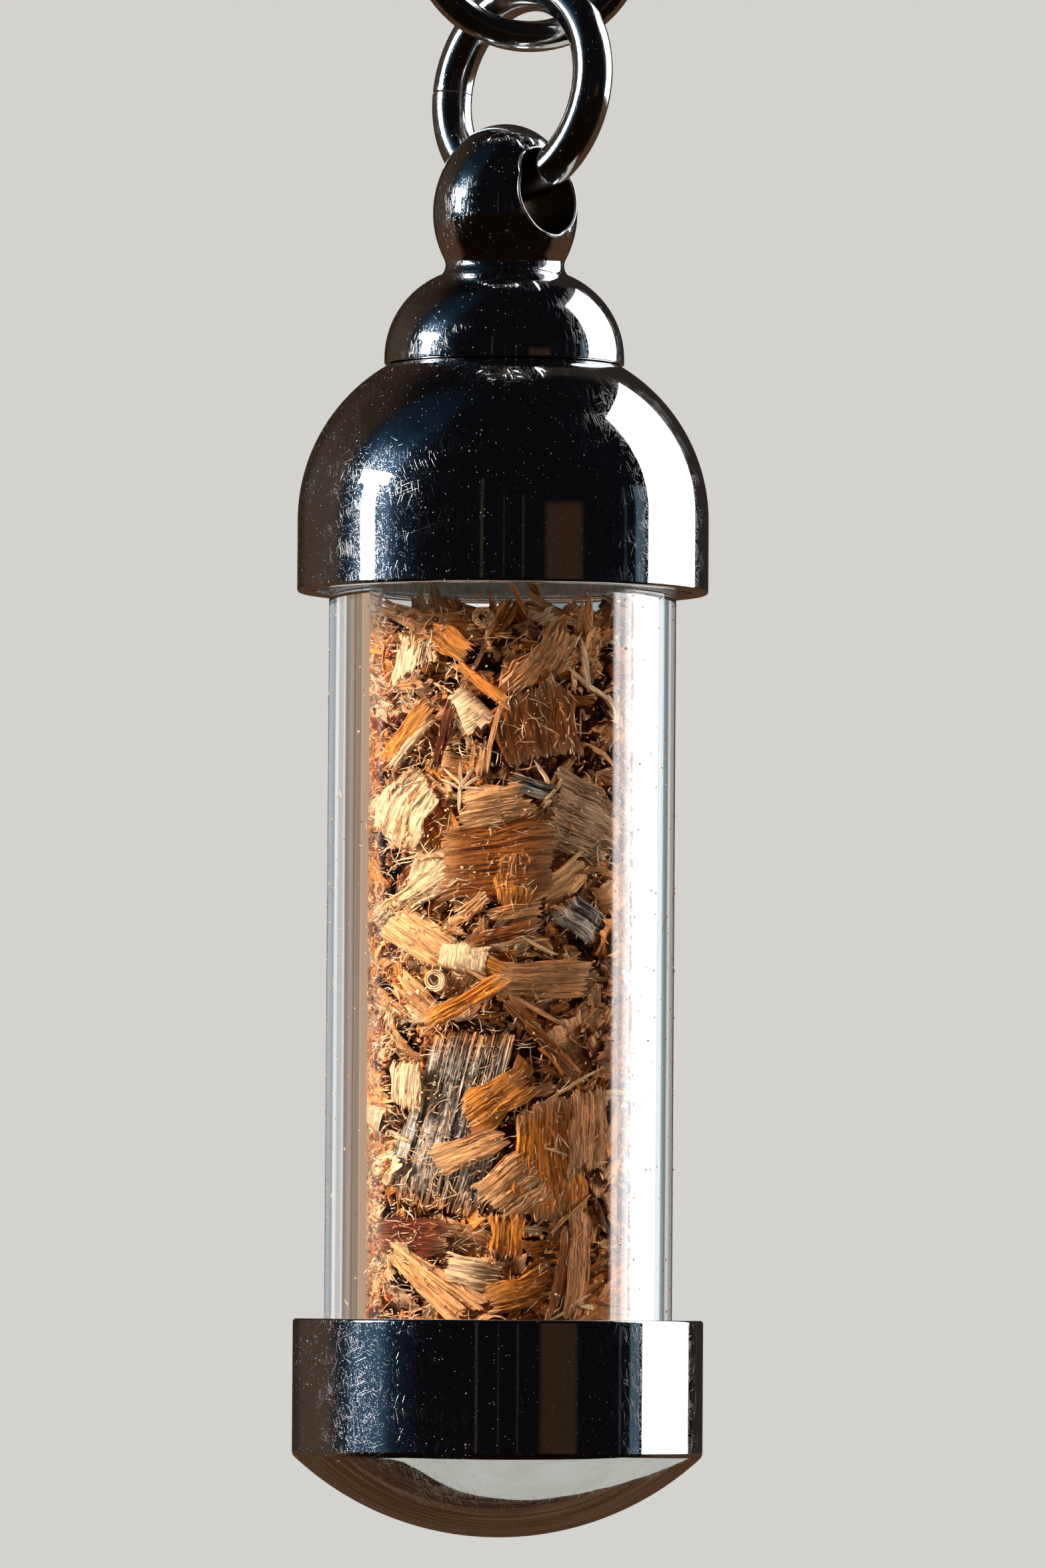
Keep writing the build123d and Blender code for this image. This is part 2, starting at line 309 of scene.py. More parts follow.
def ramp(tree, value, low, high, low_out=0.0, high_out=1.0):
    """A smooth step from low_out to high_out as the value goes from low to high."""
    return node(tree, "MapRange", {"Value": value, "From Min": low, "From Max": high, "To Min": low_out,
                                   "To Max": high_out}, interpolation_type="SMOOTHSTEP").outputs["Result"]


def maths(tree, operation, first, second=0.0):
    return node(tree, "Math", {0: first, 1: second}, operation=operation).outputs[0]


def product(tree, first, second):
    return maths(tree, "MULTIPLY", first, second)


def mix(tree, factor, first, second):
    """A colour between two others."""
    return node(tree, "Mix", {0: factor, 6: first, 7: second}, data_type="RGBA").outputs[2]


def bump(tree, height_value, strength, distance):
    return node(tree, "Bump", {"Height": height_value, "Strength": strength,
                               "Distance": distance * MM}).outputs["Normal"]


MARKS_RADIUS = 5.5
# Hairlines on the chrome: direction in degrees, length, width, share of cells, offset
SCRATCHES = ((80, 0.45, 0.0022, 0.4, 3), (62, 0.35, 0.0022, 0.3, 11), (-70, 0.4, 0.0025, 0.25, 23),
             (25, 0.25, 0.0022, 0.25, 37), (-20, 0.8, 0.0022, 0.12, 51))
# Pits and motes on the chrome: cells per millimetre, size within a cell, share of cells
PITS = ((22, 0.3, 0.9), (12, 0.24, 0.8), (6, 0.17, 0.7))
MOTES = ((3.1, 0.08, 0.3), (9, 0.15, 0.35))


def specks(tree, per_mm, size, share):
    """Round dots of varied strength: one in each cell of a grid, shown in a share of the cells."""
    cells = node(tree, "TexVoronoi", {"Vector": in_millimetres(tree), "Scale": per_mm})
    parts = node(tree, "SeparateColor", {0: cells.outputs["Color"]})
    chosen = maths(tree, "LESS_THAN", parts.outputs[0], share)
    strength = product(tree, chosen, maths(tree, "POWER", parts.outputs[1], 0.9))
    return product(tree, ramp(tree, cells.outputs["Distance"], size * 0.6, size, 1, 0), strength)


def round_coordinates(tree, turn, along, across, offset):
    """Distance round the axis and height in millimetres, turned and stretched for a 2-D pattern."""
    place = node(tree, "SeparateXYZ", {0: node(tree, "TexCoord").outputs["Object"]})
    angle = maths(tree, "ARCTAN2", place.outputs["X"], product(tree, place.outputs["Y"], -1.0))
    flat = node(tree, "CombineXYZ", {0: product(tree, angle, MARKS_RADIUS),
                                     1: maths(tree, "DIVIDE", place.outputs["Z"], MM)}).outputs[0]
    turned = node(tree, "VectorRotate", {"Vector": flat, "Angle": radians(turn)},
                  rotation_type="Z_AXIS").outputs[0]
    cells = stretched(tree, turned, (along, across, 1))
    return node(tree, "VectorMath", {0: cells, 1: (offset, offset * 1.7, 0)}, operation="ADD").outputs[0]


def scratches(tree, turn, long, wide, share, seed):
    """Straight hairlines, one in each stretched cell, shown in a share of the cells."""
    place = round_coordinates(tree, turn, 0.4 / long, 0.1 / wide, seed)
    cells = node(tree, "TexVoronoi", {"Vector": place, "Scale": 1.0}, voronoi_dimensions="2D")
    parts = node(tree, "SeparateColor", {0: cells.outputs["Color"]})
    chosen = maths(tree, "LESS_THAN", parts.outputs[0], share)
    size = ramp(tree, parts.outputs[1], 0, 1, 0.05, 0.2)
    line = maths(tree, "LESS_THAN", cells.outputs["Distance"], size)
    return product(tree, line, product(tree, chosen, parts.outputs[2]))


def strongest(tree, values):
    """The largest of several values."""
    largest = values[0]
    for value in values[1:]:
        largest = maths(tree, "MAXIMUM", largest, value)
    return largest


def chrome(name, colour, wear, sheen=(0.015, 0.045), drilled=False):
    """Bright plate with hairline scratches, fine pits and a little settled dust, mostly on its left."""
    material, tree, shader, _ = new_material(name)
    lines = [scratches(tree, *line) for line in SCRATCHES]
    marks = strongest(tree, lines + [specks(tree, *pit) for pit in PITS])
    patches = ramp(tree, noise(tree, in_millimetres(tree), 0.6, 5, 0.7), 0.30, 0.62, 0.25, 1)
    across = node(tree, "SeparateXYZ", {0: in_millimetres(tree)}).outputs["X"]
    patches = product(tree, patches, ramp(tree, across, -4, 2, 1, 0.4))
    marks = product(tree, marks, patches)
    dust = product(tree, strongest(tree, [specks(tree, *mote) for mote in MOTES]), patches)
    haze = ramp(tree, noise(tree, in_millimetres(tree), 0.8, 4), 0.35, 0.75, *sheen)
    rough = maths(tree, "ADD", haze, product(tree, marks, 0.42 * wear))
    rough = maths(tree, "MAXIMUM", rough, product(tree, dust, 0.8))
    paint = mix(tree, dust, (*colour, 1), (0.45, 0.46, 0.48, 1))
    # Painted shade: the drilled faces of the eye and of the ring's groove are painted dark brown and made
    # rougher
    if drilled:
        cut = node(tree, "Attribute", attribute_name="cut").outputs["Fac"]
        paint = mix(tree, cut, paint, (0.10, 0.075, 0.055, 1))
        rough = maths(tree, "MAXIMUM", rough, product(tree, cut, 0.42))
    set_inputs(
        tree, shader,
        base_color=paint,
        metallic=maths(tree, "SUBTRACT", 1.0, dust),
        roughness=rough,
        normal=bump(tree, marks, 0.3 * wear, 0.003),
    )
    return material


def glass(name):
    """Drawn tubing: clear, with faint draw lines along its length and a little haze."""
    material, tree, shader, _ = new_material(name)
    lines = noise(tree, in_millimetres(tree, (2.2, 2.2, 0.012)), 1, 3)
    haze = ramp(tree, noise(tree, in_millimetres(tree, (1, 1, 0.4)), 1.4, 4), 0.62, 0.85, 0.0, 0.02)
    set_inputs(
        tree, shader,
        base_color=(0.995, 1.0, 0.998, 1),
        roughness=haze,
        ior=1.47,
        transmission_weight=1.0,
        normal=bump(tree, lines, 0.1, 0.02),
    )
    return material


def plain_finish(name, colour, roughness, metallic=0.0, grain=6.0, depth=0.01, **more):
    """A worked surface: mottled in colour and sheen, with a fine grain."""
    material, tree, shader, _ = new_material(name)
    mottle = noise(tree, in_millimetres(tree), grain, 4)
    dark = tuple(0.78 * c for c in colour)
    set_inputs(
        tree, shader,
        base_color=mix(tree, ramp(tree, mottle, 0.35, 0.65), (*dark, 1), (*colour, 1)),
        roughness=ramp(tree, mottle, 0.3, 0.7, roughness * 0.7, min(1, roughness * 1.3)),
        metallic=metallic,
        normal=bump(tree, mottle, 0.4, depth),
        **more,
    )
    return material


def wood(name, fibre, shade_contrast, depth, glow, dark):
    """Split wood: each piece has its own tint, with fibres along its grain coordinates; the colour darkens
    where the fibres sink, partly grain tone and partly painted shade in the grooves.
    """
    material, tree, shader, output = new_material(name)
    tint = node(tree, "Attribute", attribute_name="tint").outputs["Color"]
    grain = node(tree, "Attribute", attribute_name="grain").outputs["Vector"]

    def grained(across, along, detail):
        return noise(tree, stretched(tree, grain, (across, along, 1.0)), 1, detail, 0.62)

    fibres = grained(fibre, fibre * 0.06, 4)
    streaks = grained(4.5, 0.3, 2)
    pores = ramp(tree, grained(fibre * 1.6, fibre * 0.12, 2), 0.62, 0.72)
    mottle = noise(tree, grain, 2.2, 4)
    streaks = product(tree, ramp(tree, streaks, 0.38, 0.62), 0.6)
    # Raised fibres are lighter and their hollows darker: partly the wood's grain, partly painted shade that
    # follows the bump
    shade = maths(tree, "ADD", ramp(tree, fibres, 0.36, 0.64), streaks)
    shade = ramp(tree, shade, 0.0, 1.6, 1 - shade_contrast, 1 + shade_contrast * 0.4)
    colour = shaded(tree, tint, shade)
    colour = mix(tree, ramp(tree, mottle, 0.55, 0.8, 0, 0.45), colour, (*dark, 1))
    colour = mix(tree, product(tree, pores, 0.5), colour, (*dark, 1))
    set_inputs(
        tree, shader,
        base_color=colour,
        roughness=ramp(tree, fibres, 0.3, 0.7, 0.45, 0.75),
        specular_ior_level=0.3,
        normal=bump(tree, fibres, 0.9, depth),
    )
    if glow:
        through = node(tree, "BsdfTranslucent", {"Color": colour})
        both = node(tree, "MixShader", {0: glow, 1: shader.outputs[0], 2: through.outputs[0]})
        tree.links.new(both.outputs[0], output.inputs["Surface"])
    return material


def flat_card(name, colour):
    """A material that shines with one plain colour."""
    material, tree = empty_material(name)
    light = node(tree, "Emission", {"Color": (*colour, 1), "Strength": 1.0})
    node(tree, "OutputMaterial", {"Surface": light.outputs[0]})
    return material


cap_chrome = chrome("cap_chrome", (0.80, 0.81, 0.83), 1.0)
eye_chrome = chrome("eye_chrome", (0.80, 0.81, 0.83), 1.0, drilled=True)
wire_chrome = chrome("wire_chrome", (0.78, 0.79, 0.80), 0.5, (0.10, 0.15))
tube_glass = glass("tube_glass")
rim_chrome = plain_finish("rim_chrome", (0.78, 0.77, 0.76), 0.42, 1.0, 9)
collar_metal = plain_finish("collar_metal", (0.62, 0.62, 0.64), 0.3, 1.0, 9)
nut_brass = plain_finish("nut_brass", (0.78, 0.55, 0.22), 0.28, 1.0, 9)
seal_rubber = plain_finish("seal_rubber", (0.62, 0.60, 0.57), 0.5, 0.0, 14)
clear_adhesive = plain_finish("clear_adhesive", (0.85, 0.84, 0.78), 0.15, 0.0, 5, transmission_weight=0.7)
# Each wood's shade contrast darkens its grooves as painted shade, most of all on the weathered chips, where
# they go near black
shavings_wood = wood("shavings_wood", 26, 0.65, 0.07, 0.30, (0.42, 0.11, 0.015))
weathered_wood = wood("weathered_wood", 24, 0.98, 0.12, 0.0, (0.045, 0.032, 0.024))
amber_wood = wood("amber_wood", 24, 0.6, 0.06, 0.30, (0.40, 0.10, 0.015))


# ---------------------------------------------------------------- chrome caps and glass

tube_low, tube_high = height("glass_tube", 0), height("glass_tube", 1) - SEAL_GAP
rim = height("top_cap", 0)
bell_top = height("top_cap", 1)
bell_base = bell_top - BELL_HEIGHT
bell_offset = CAP_RADIUS - BELL_RADIUS
gasket_seat = height("mouth_gasket", 1) + SEAL_GAP
nut_top = height("finial_nut", 1)
finial_foot = height("shoulder_dome", 1)
egg_top = height("eye_finial", 1)
stud_end = height("eye_finial", 0)


def thread(crest, depth, low, high):
    """Moves a wall between two heights in and out along a right-hand screw line."""
    def shape(radius, level, angles):
        if abs(radius - crest) > 1e-6 or not low <= level <= high:
            return np.full(len(angles), radius)
        phase = (level / THREAD_PITCH - angles / (2 * pi)) % 1
        tooth = np.clip(2.2 * np.abs(phase - 0.5) - 0.1, 0, 1)
        ease = min(1, (level - low) / 0.3, (high - level) / 0.3)
        return radius + depth * tooth * ease
    return shape


def make_bottom_cap():
    dome = (BOTTOM_CAP_RADIUS**2 + DOME_DEPTH**2) / (2 * DOME_DEPTH)
    path = arc((0, dome), dome, -90, -degrees(acos(BOTTOM_CAP_RADIUS / dome)), 60)
    path = [(0, 0)] + path[1:]
    path += [(BOTTOM_CAP_RADIUS, BOTTOM_CAP_HEIGHT), (BOTTOM_CAP_BORE, BOTTOM_CAP_HEIGHT),
             (BOTTOM_CAP_BORE, BOTTOM_FLOOR), (0, BOTTOM_FLOOR)]
    path = soften(path, (BOTTOM_CAP_RADIUS, DOME_DEPTH), 0.25)
    path = soften(path, (BOTTOM_CAP_RADIUS, BOTTOM_CAP_HEIGHT), RIM_ROUND)
    path = soften(path, (BOTTOM_CAP_BORE, BOTTOM_CAP_HEIGHT), RIM_ROUND)
    return lathe("bottom_cap_shell", path, closed=False)


def make_top_cap():
    inner = BELL_RADIUS - BELL_WALL
    top_angle = degrees(asin(BELL_HEIGHT / BELL_RADIUS))
    path = [(CAP_RADIUS, rim)]
    path += arc((bell_offset, bell_base), BELL_RADIUS, 0, top_angle, 60)
    path += [(STUD_HOLE, bell_top), (STUD_HOLE, nut_top)]
    path += arc((bell_offset, bell_base), inner, degrees(asin((nut_top - bell_base) / inner)),
                degrees(acos((CAVITY_RADIUS - bell_offset) / inner)), 16)
    path += [(CAVITY_RADIUS, gasket_seat)]
    path += [(CAP_BORE, level) for level in np.linspace(gasket_seat, rim, 72)]
    path = soften(path, (CAP_BORE, rim), RIM_ROUND)
    path = soften(path[::-1], (CAP_RADIUS, rim), RIM_ROUND)
    return lathe("top_cap_shell", path, shape=thread(CAP_BORE, THREAD_DEPTH, rim + 0.3, gasket_seat - 0.1))


def make_shoulder():
    offset = SHOULDER_RADIUS - SHOULDER_ARC
    base = bell_top + SHOULDER_BASE
    top_angle = degrees(asin((finial_foot - base) / SHOULDER_ARC))
    path = [(STUD_HOLE, bell_top), (SHOULDER_RADIUS, bell_top)]
    path += arc((offset, base), SHOULDER_ARC, 0, top_angle, 48)
    path += [(STUD_HOLE, finial_foot)]
    path = soften(path, (SHOULDER_RADIUS, bell_top), 0.05)
    return lathe("shoulder_dome_shell", path)


def make_tube():
    path = [(TUBE_RADIUS, tube_low), (TUBE_RADIUS, tube_high), (TUBE_BORE, tube_high), (TUBE_BORE, tube_low)]
    for corner in list(path):
        path = soften(path[1:] + path[:1], corner, TUBE_EDGE)
    return lathe("glass_tube_clear", path, steps=384)


def make_collar():
    low, high = height("neck_collar", 0), height("neck_collar", 1) - SEAL_GAP
    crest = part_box("neck_collar")[1].x / MM
    bore = TUBE_RADIUS + 0.05
    path = [(crest, level) for level in np.linspace(low, high, 60)] + [(bore, high), (bore, low)]
    return lathe("neck_collar_thread", path, shape=thread(crest, -THREAD_DEPTH, low, high))


def egg_path():
    """The finial's outline from its crown down to the end of its stud."""
    waist = egg_top - WAIST_BELOW_TOP
    rise, spare = WAIST_BELOW_TOP - CROWN_RADIUS, WAIST_RADIUS - CROWN_RADIUS
    flank_offset = (rise**2 - spare**2) / (2 * spare)
    flank_radius = WAIST_RADIUS + flank_offset
    join = degrees(atan2(rise, flank_offset))
    lower_offset = (LOWER_REACH**2 - WAIST_RADIUS**2) / (2 * WAIST_RADIUS)
    lower_radius = WAIST_RADIUS + lower_offset
    cut = finial_foot + 0.5
    path = arc((0, waist + rise), CROWN_RADIUS, 90, join, 30)
    path = [(0, egg_top)] + path[1:]
    path += arc((-flank_offset, waist), flank_radius, join, 0, 24)[1:]
    path += arc((-lower_offset, waist), lower_radius, 0, -degrees(asin((waist - cut) / lower_radius)), 30)[1:]
    path += arc_through(path[-1], (NECK_RADIUS, finial_foot + 0.24), (FOOT_RADIUS, finial_foot), 12)[1:]
    return path + [(STUD_RADIUS, finial_foot), (STUD_RADIUS, stud_end), (0, stud_end)]


dress(make_bottom_cap(), cap_chrome, "vial", "cap_chrome", "bottom_cap")
dress(make_top_cap(), cap_chrome, "cap", "cap_chrome", "top_cap")
dress(make_shoulder(), cap_chrome, "cap", "cap_chrome", "shoulder_dome")
tube = dress(make_tube(), tube_glass, "vial", "tube_glass", "glass_tube")
tube.visible_shadow = False
tube.visible_diffuse = False
dress(make_collar(), collar_metal, "vial", "collar_metal", "neck_collar")


# ---------------------------------------------------------------- eye finial, ring and chain

def joint_point(name):
    return Vector(joints[name]["pos_m"])


def joint_axis(name):
    return Vector(joints[name]["axis"]).normalized()


ring_low = joint_point("vial_swing")
ring_along = joint_axis("vial_swing")
ring_up = joint_point("ring_swing") - ring_low
ring_up = (ring_up - ring_along * ring_up.dot(ring_along)).normalized()
ring_radius = RING_RADIUS * MM
ring_centre = ring_low + ring_up * ring_radius


def ring_line(steps, gap=0.0):
    """The ring's centre line, open by a gap (radians) on the side away from the front."""
    angles = [pi + gap + (2 * pi - 2 * gap) * i / steps for i in range(steps + (1 if gap else 0))]
    return [ring_centre + (ring_along * cos(a) + ring_up * sin(a)) * ring_radius for a in angles]


def make_ring():
    line = ring_line(220, gap=RING_GAP)
    normal = ring_along.cross(ring_up)
    return wire("jump_ring_wire", line, [normal] * len(line), RING_WIRE * MM, closed=False, sides=56)


def make_link(name, joint):
    """An oval link of round wire, hung on the joint's point and lying along its axis."""
    low, along = joint_point(joint), joint_axis(joint)
    up = Vector((0, 0, 1))
    half, radius = LINK_STRAIGHT / 2 * MM, LINK_RADIUS * MM
    centre = low + up * (radius + half)
    line = []
    for i in range(200):
        a = 2 * pi * (i + 0.5) / 200
        side = 1 if sin(a) > 0 else -1
        line.append(centre + along * (cos(a) * radius) + up * (sin(a) * radius + side * half))
    normal = along.cross(up)
    return wire(name, line, [normal] * len(line), LINK_WIRE * MM, sides=44)


def torus_cutter(name, turn, radius):
    """The ring's own room where its swing ends."""
    spin = Matrix.Rotation(turn, 3, ring_along)
    line = [ring_low + spin @ (point - ring_low) for point in ring_line(96)]
    normal = spin @ ring_along.cross(ring_up)
    return wire(name, line, [normal] * len(line), radius, sides=40)


def bore_cutter():
    """The eye's straight bore, with a small chamfer at both mouths."""
    outer, past = WAIST_RADIUS, WAIST_RADIUS + 0.5
    half = [(EYE_RADIUS, outer - EYE_LIP_DEPTH), (EYE_RADIUS + EYE_LIP, outer), (EYE_RADIUS, outer),
            (EYE_RADIUS, past), (0, past)]
    path = [(r, -z) for r, z in half[::-1]] + half
    piece = lathe("eye_bore_cutter", [(r, z - drop) for r, z in path], closed=False, steps=128)
    centre = Vector((0, 0, (finial_foot + EYE_ABOVE_FOOT + drop) * MM))
    turn = ring_along.to_track_quat("Z", "Y").to_matrix().to_4x4()
    piece.matrix_world = Matrix.Translation(centre) @ turn
    return piece


def fan_cutter(steps=32):
    """The room that the ring sweeps above the bore as the vial swings on it."""
    inner = ring_radius - (RING_WIRE + SWEEP_CLEARANCE) * MM
    reach = 0.94 * inner
    edge = asin(reach / inner)
    outline = [(inner * sin(a), ring_radius - inner * cos(a)) for a in np.linspace(edge, -edge, 33)]
    outline += [(u, 0) for u in np.linspace(-reach, reach, 9)]
    across = ring_along.cross(ring_up)
    verts = []
    for i in range(steps + 1):
        a = radians(RING_SWING) * (2 * i / steps - 1)
        out = ring_up * cos(a) + across * sin(a)
        verts += [ring_low + ring_along * u + out * max(v, 0.02 * MM * (v > 0) + v) for u, v in outline]
    count = len(outline)
    faces = []
    for low in range(0, steps * count, count):
        for k in range(count):
            after = (k + 1) % count
            faces.append([low + k, low + after, low + count + after, low + count + k])
    faces += [list(range(count))[::-1], [steps * count + k for k in range(count)]]
    piece = new_mesh_piece("fan_cutter", verts, faces)
    shape = bmesh.new()
    shape.from_mesh(piece.data)
    bmesh.ops.remove_doubles(shape, verts=shape.verts, dist=1e-7)
    bmesh.ops.recalc_face_normals(shape, faces=shape.faces)
    shape.to_mesh(piece.data)
    shape.free()
    return piece


def rim_loops(mesh, cut):
    """The closed lines where drilled faces meet turned ones."""
    beside = {}
    for face in mesh.polygons:
        for key in face.edge_keys:
            beside.setdefault(key, []).append(cut[face.index])
    joined = {}
    for a, b in (key for key, sides in beside.items() if len(set(sides)) > 1):
        joined.setdefault(a, []).append(b)
        joined.setdefault(b, []).append(a)
    loops = []
    while joined:
        line = [next(iter(joined))]
        while joined.get(line[-1]):
            after = joined[line[-1]].pop()
            joined[after].remove(line[-1])
            line.append(after)
        for point in line:
            if not joined.get(point):
                joined.pop(point, None)
        loops.append([mesh.vertices[i].co.copy() for i in line[:-1]])
    return loops


def even_line(points, step, smoothings=8):
    """The closed line with its points spaced evenly and smoothed a little."""
    points = np.array(points)
    closed = np.vstack([points, points[:1]])
    away = np.concatenate([[0], np.cumsum(np.linalg.norm(np.diff(closed, axis=0), axis=1))])
    at = np.linspace(0, away[-1], max(12, int(away[-1] / step)), endpoint=False)
    line = np.stack([np.interp(at, away, closed[:, i]) for i in range(3)], -1)
    for _ in range(smoothings):
        line = (np.roll(line, 1, 0) + 2 * line + np.roll(line, -1, 0)) / 4
    return [Vector(point) for point in line]


def make_rims(loops):
    """The rounded lip round each mouth of the eye."""
    for number, loop in enumerate(sorted(loops, key=len)[-2:]):
        line = even_line(loop, BEAD_STEP * MM)
        bead = wire(f"eye_rim_{number + 1}", line, [ring_along] * len(line), EYE_BEAD * MM, sides=10)
        dress(bead, rim_chrome, "cap", "cap_chrome")


def make_finial():
    egg = lathe("eye_finial_turned", egg_path(), closed=False, steps=288)
    cutters = [bore_cutter(), fan_cutter()]
    for turn in (-RING_SWING, RING_SWING):
        cutters.append(torus_cutter(f"end_cutter_{turn}", radians(turn), (RING_WIRE + END_CLEARANCE) * MM))
    for tool in cutters:
        change = egg.modifiers.new(tool.name, "BOOLEAN")
        change.operation = "DIFFERENCE"
        change.solver = "EXACT"
        change.object = tool
    depsgraph = bpy.context.evaluated_depsgraph_get()
    shaped = bpy.data.meshes.new_from_object(egg.evaluated_get(depsgraph))
    bpy.data.objects.remove(egg)
    for tool in cutters:
        bpy.data.objects.remove(tool)
    outline = np.array(egg_path()[::-1])
    centres = [face.center / MM for face in shaped.polygons]
    turned = [np.interp(c.z - drop, outline[:, 1], outline[:, 0]) for c in centres]
    inside = [float(c.z - drop > finial_foot + CUT_ABOVE_FOOT and hypot(c.x, c.y) < r - CUT_DEPTH)
              for c, r in zip(centres, turned)]
    shaped.attributes.new("cut", "FLOAT", "FACE").data.foreach_set("value", inside)
    make_rims(rim_loops(shaped, inside))
    return finish_mesh("eye_finial_drilled", shaped, 32)


dress(make_finial(), eye_chrome, "cap", "cap_chrome", "eye_finial")
dress(make_ring(), wire_chrome, "ring", "wire_chrome", "jump_ring")
for name, joint, body in (("chain_link_1", "ring_swing", "link_1"),
                          ("chain_link_2", "link_1_swing", "link_2"),
                          ("chain_link_3", "link_2_swing", "chain_end")):
    dress(make_link(name + "_wire", joint), wire_chrome, body, "wire_chrome", name)

for name, material in (("finial_nut", nut_brass), ("mouth_gasket", seal_rubber), ("seat_pad", seal_rubber),
                       ("bottom_bond", clear_adhesive), ("collar_bond", clear_adhesive)):
    nodes[name].data.materials.clear()
    nodes[name].data.materials.append(material)


# ---------------------------------------------------------------- wood shavings

BORE_CLEAR = TUBE_BORE - 0.015
CHIP_INSET = 0.13
CHIP_BEHIND_FACE = 0.02
FILL_LOW = tube_low + 0.05
FILL_HIGH = height("wood_shavings", 1) + 0.15
CORE_RADIUS = 2.9
CORE_BELOW_TOP = 0.3
CORE_CRUMBLE = 0.22
# How far the core's brown is darkened: painted shade inside the heap
CORE_PAINTED_SHADE = 0.35
FLAKE_COUNT = 500
CURL_COUNT = 150
SPLINTER_COUNT = 620
FIBRE_COUNT = 7000
CRUMB_COUNT = 4200
DUST_COUNT = 1500
DUST_OUTSIDE = 0.012
TONES = {
    "white": (0.94, 0.74, 0.50),
    "cream": (0.94, 0.60, 0.33),
    "pale": (0.88, 0.42, 0.165),
    "tan": (0.72, 0.31, 0.11),
    "amber": (0.78, 0.27, 0.045),
    "orange": (0.85, 0.28, 0.035),
    "brown": (0.40, 0.115, 0.022),
    "red": (0.15, 0.028, 0.008),
    "ash": (0.60, 0.35, 0.19),
    "grey": (0.44, 0.37, 0.30),
}


def set_wood_attributes(mesh, colours, grains):
    """Stores each point's tint and grain coordinates, which the wood materials read."""
    tint = mesh.attributes.new("tint", "FLOAT_COLOR", "POINT")
    tint.data.foreach_set("color", np.hstack([colours, np.ones((len(colours), 1))]).ravel())
    grain = mesh.attributes.new("grain", "FLOAT_VECTOR", "POINT")
    grain.data.foreach_set("vector", grains.ravel())


class Heap:
    """Collects many small closed pieces of wood into one mesh, each with its tint and its grain."""

    def __init__(self):
        self.points, self.quads, self.tints, self.grains = [], [], [], []
        self.count = 0

    def add(self, points, quads, tint, grain):
        self.points.append(points)
        self.quads.append(quads + self.count)
        self.tints.append(tint)
        self.grains.append(grain + np.array([0, 0, 7.3 * len(self.points)]))
        self.count += len(points)

    def build(self, name, smooth_angle=42):
        points = (np.concatenate(self.points) + np.array([0, 0, drop])) * MM
        quads = np.concatenate(self.quads)
        mesh = bpy.data.meshes.new(name)
        mesh.vertices.add(len(points))
        mesh.vertices.foreach_set("co", points.ravel())
        mesh.loops.add(quads.size)
        mesh.loops.foreach_set("vertex_index", quads.ravel())
        mesh.polygons.add(len(quads))
        mesh.polygons.foreach_set("loop_start", np.arange(len(quads)) * 4)
        mesh.update(calc_edges=True)
        set_wood_attributes(mesh, np.concatenate(self.tints), np.concatenate(self.grains))
        return finish_mesh(name, mesh, smooth_angle)


def slab_quads(rows, columns):
    """Faces of a closed slab: a top grid, a bottom grid and the strip that joins their rims."""
    index = np.arange((rows + 1) * (columns + 1)).reshape(rows + 1, columns + 1)
    low = index + index.size
    top = np.stack([index[:-1, :-1], index[:-1, 1:], index[1:, 1:], index[1:, :-1]], -1).reshape(-1, 4)
    bottom = np.stack([low[:-1, :-1], low[1:, :-1], low[1:, 1:], low[:-1, 1:]], -1).reshape(-1, 4)
    rim_path = np.concatenate([index[0, :-1], index[:-1, -1], index[-1, :0:-1], index[:0:-1, 0]])
    after = np.roll(rim_path, -1)
    side = np.stack([rim_path, rim_path + index.size, after + index.size, after], -1)
    return np.concatenate([top, bottom, side])


def bend(points, axis, curvature):
    """Bends points about a line across the given axis, ends towards minus z where positive."""
    if abs(curvature) < 1e-6:
        return points
    turn = points[:, axis] * curvature
    reach = 1 / curvature + points[:, 2]
    bent = points.copy()
    bent[:, axis] = reach * np.sin(turn)
    bent[:, 2] = reach * np.cos(turn) - 1 / curvature
    return bent


def soft_noise(count, knots):
    """A smooth random line, about -1 to 1."""
    return np.interp(np.linspace(0, 1, count), np.linspace(0, 1, knots), rng.normal(0, 0.6, knots))


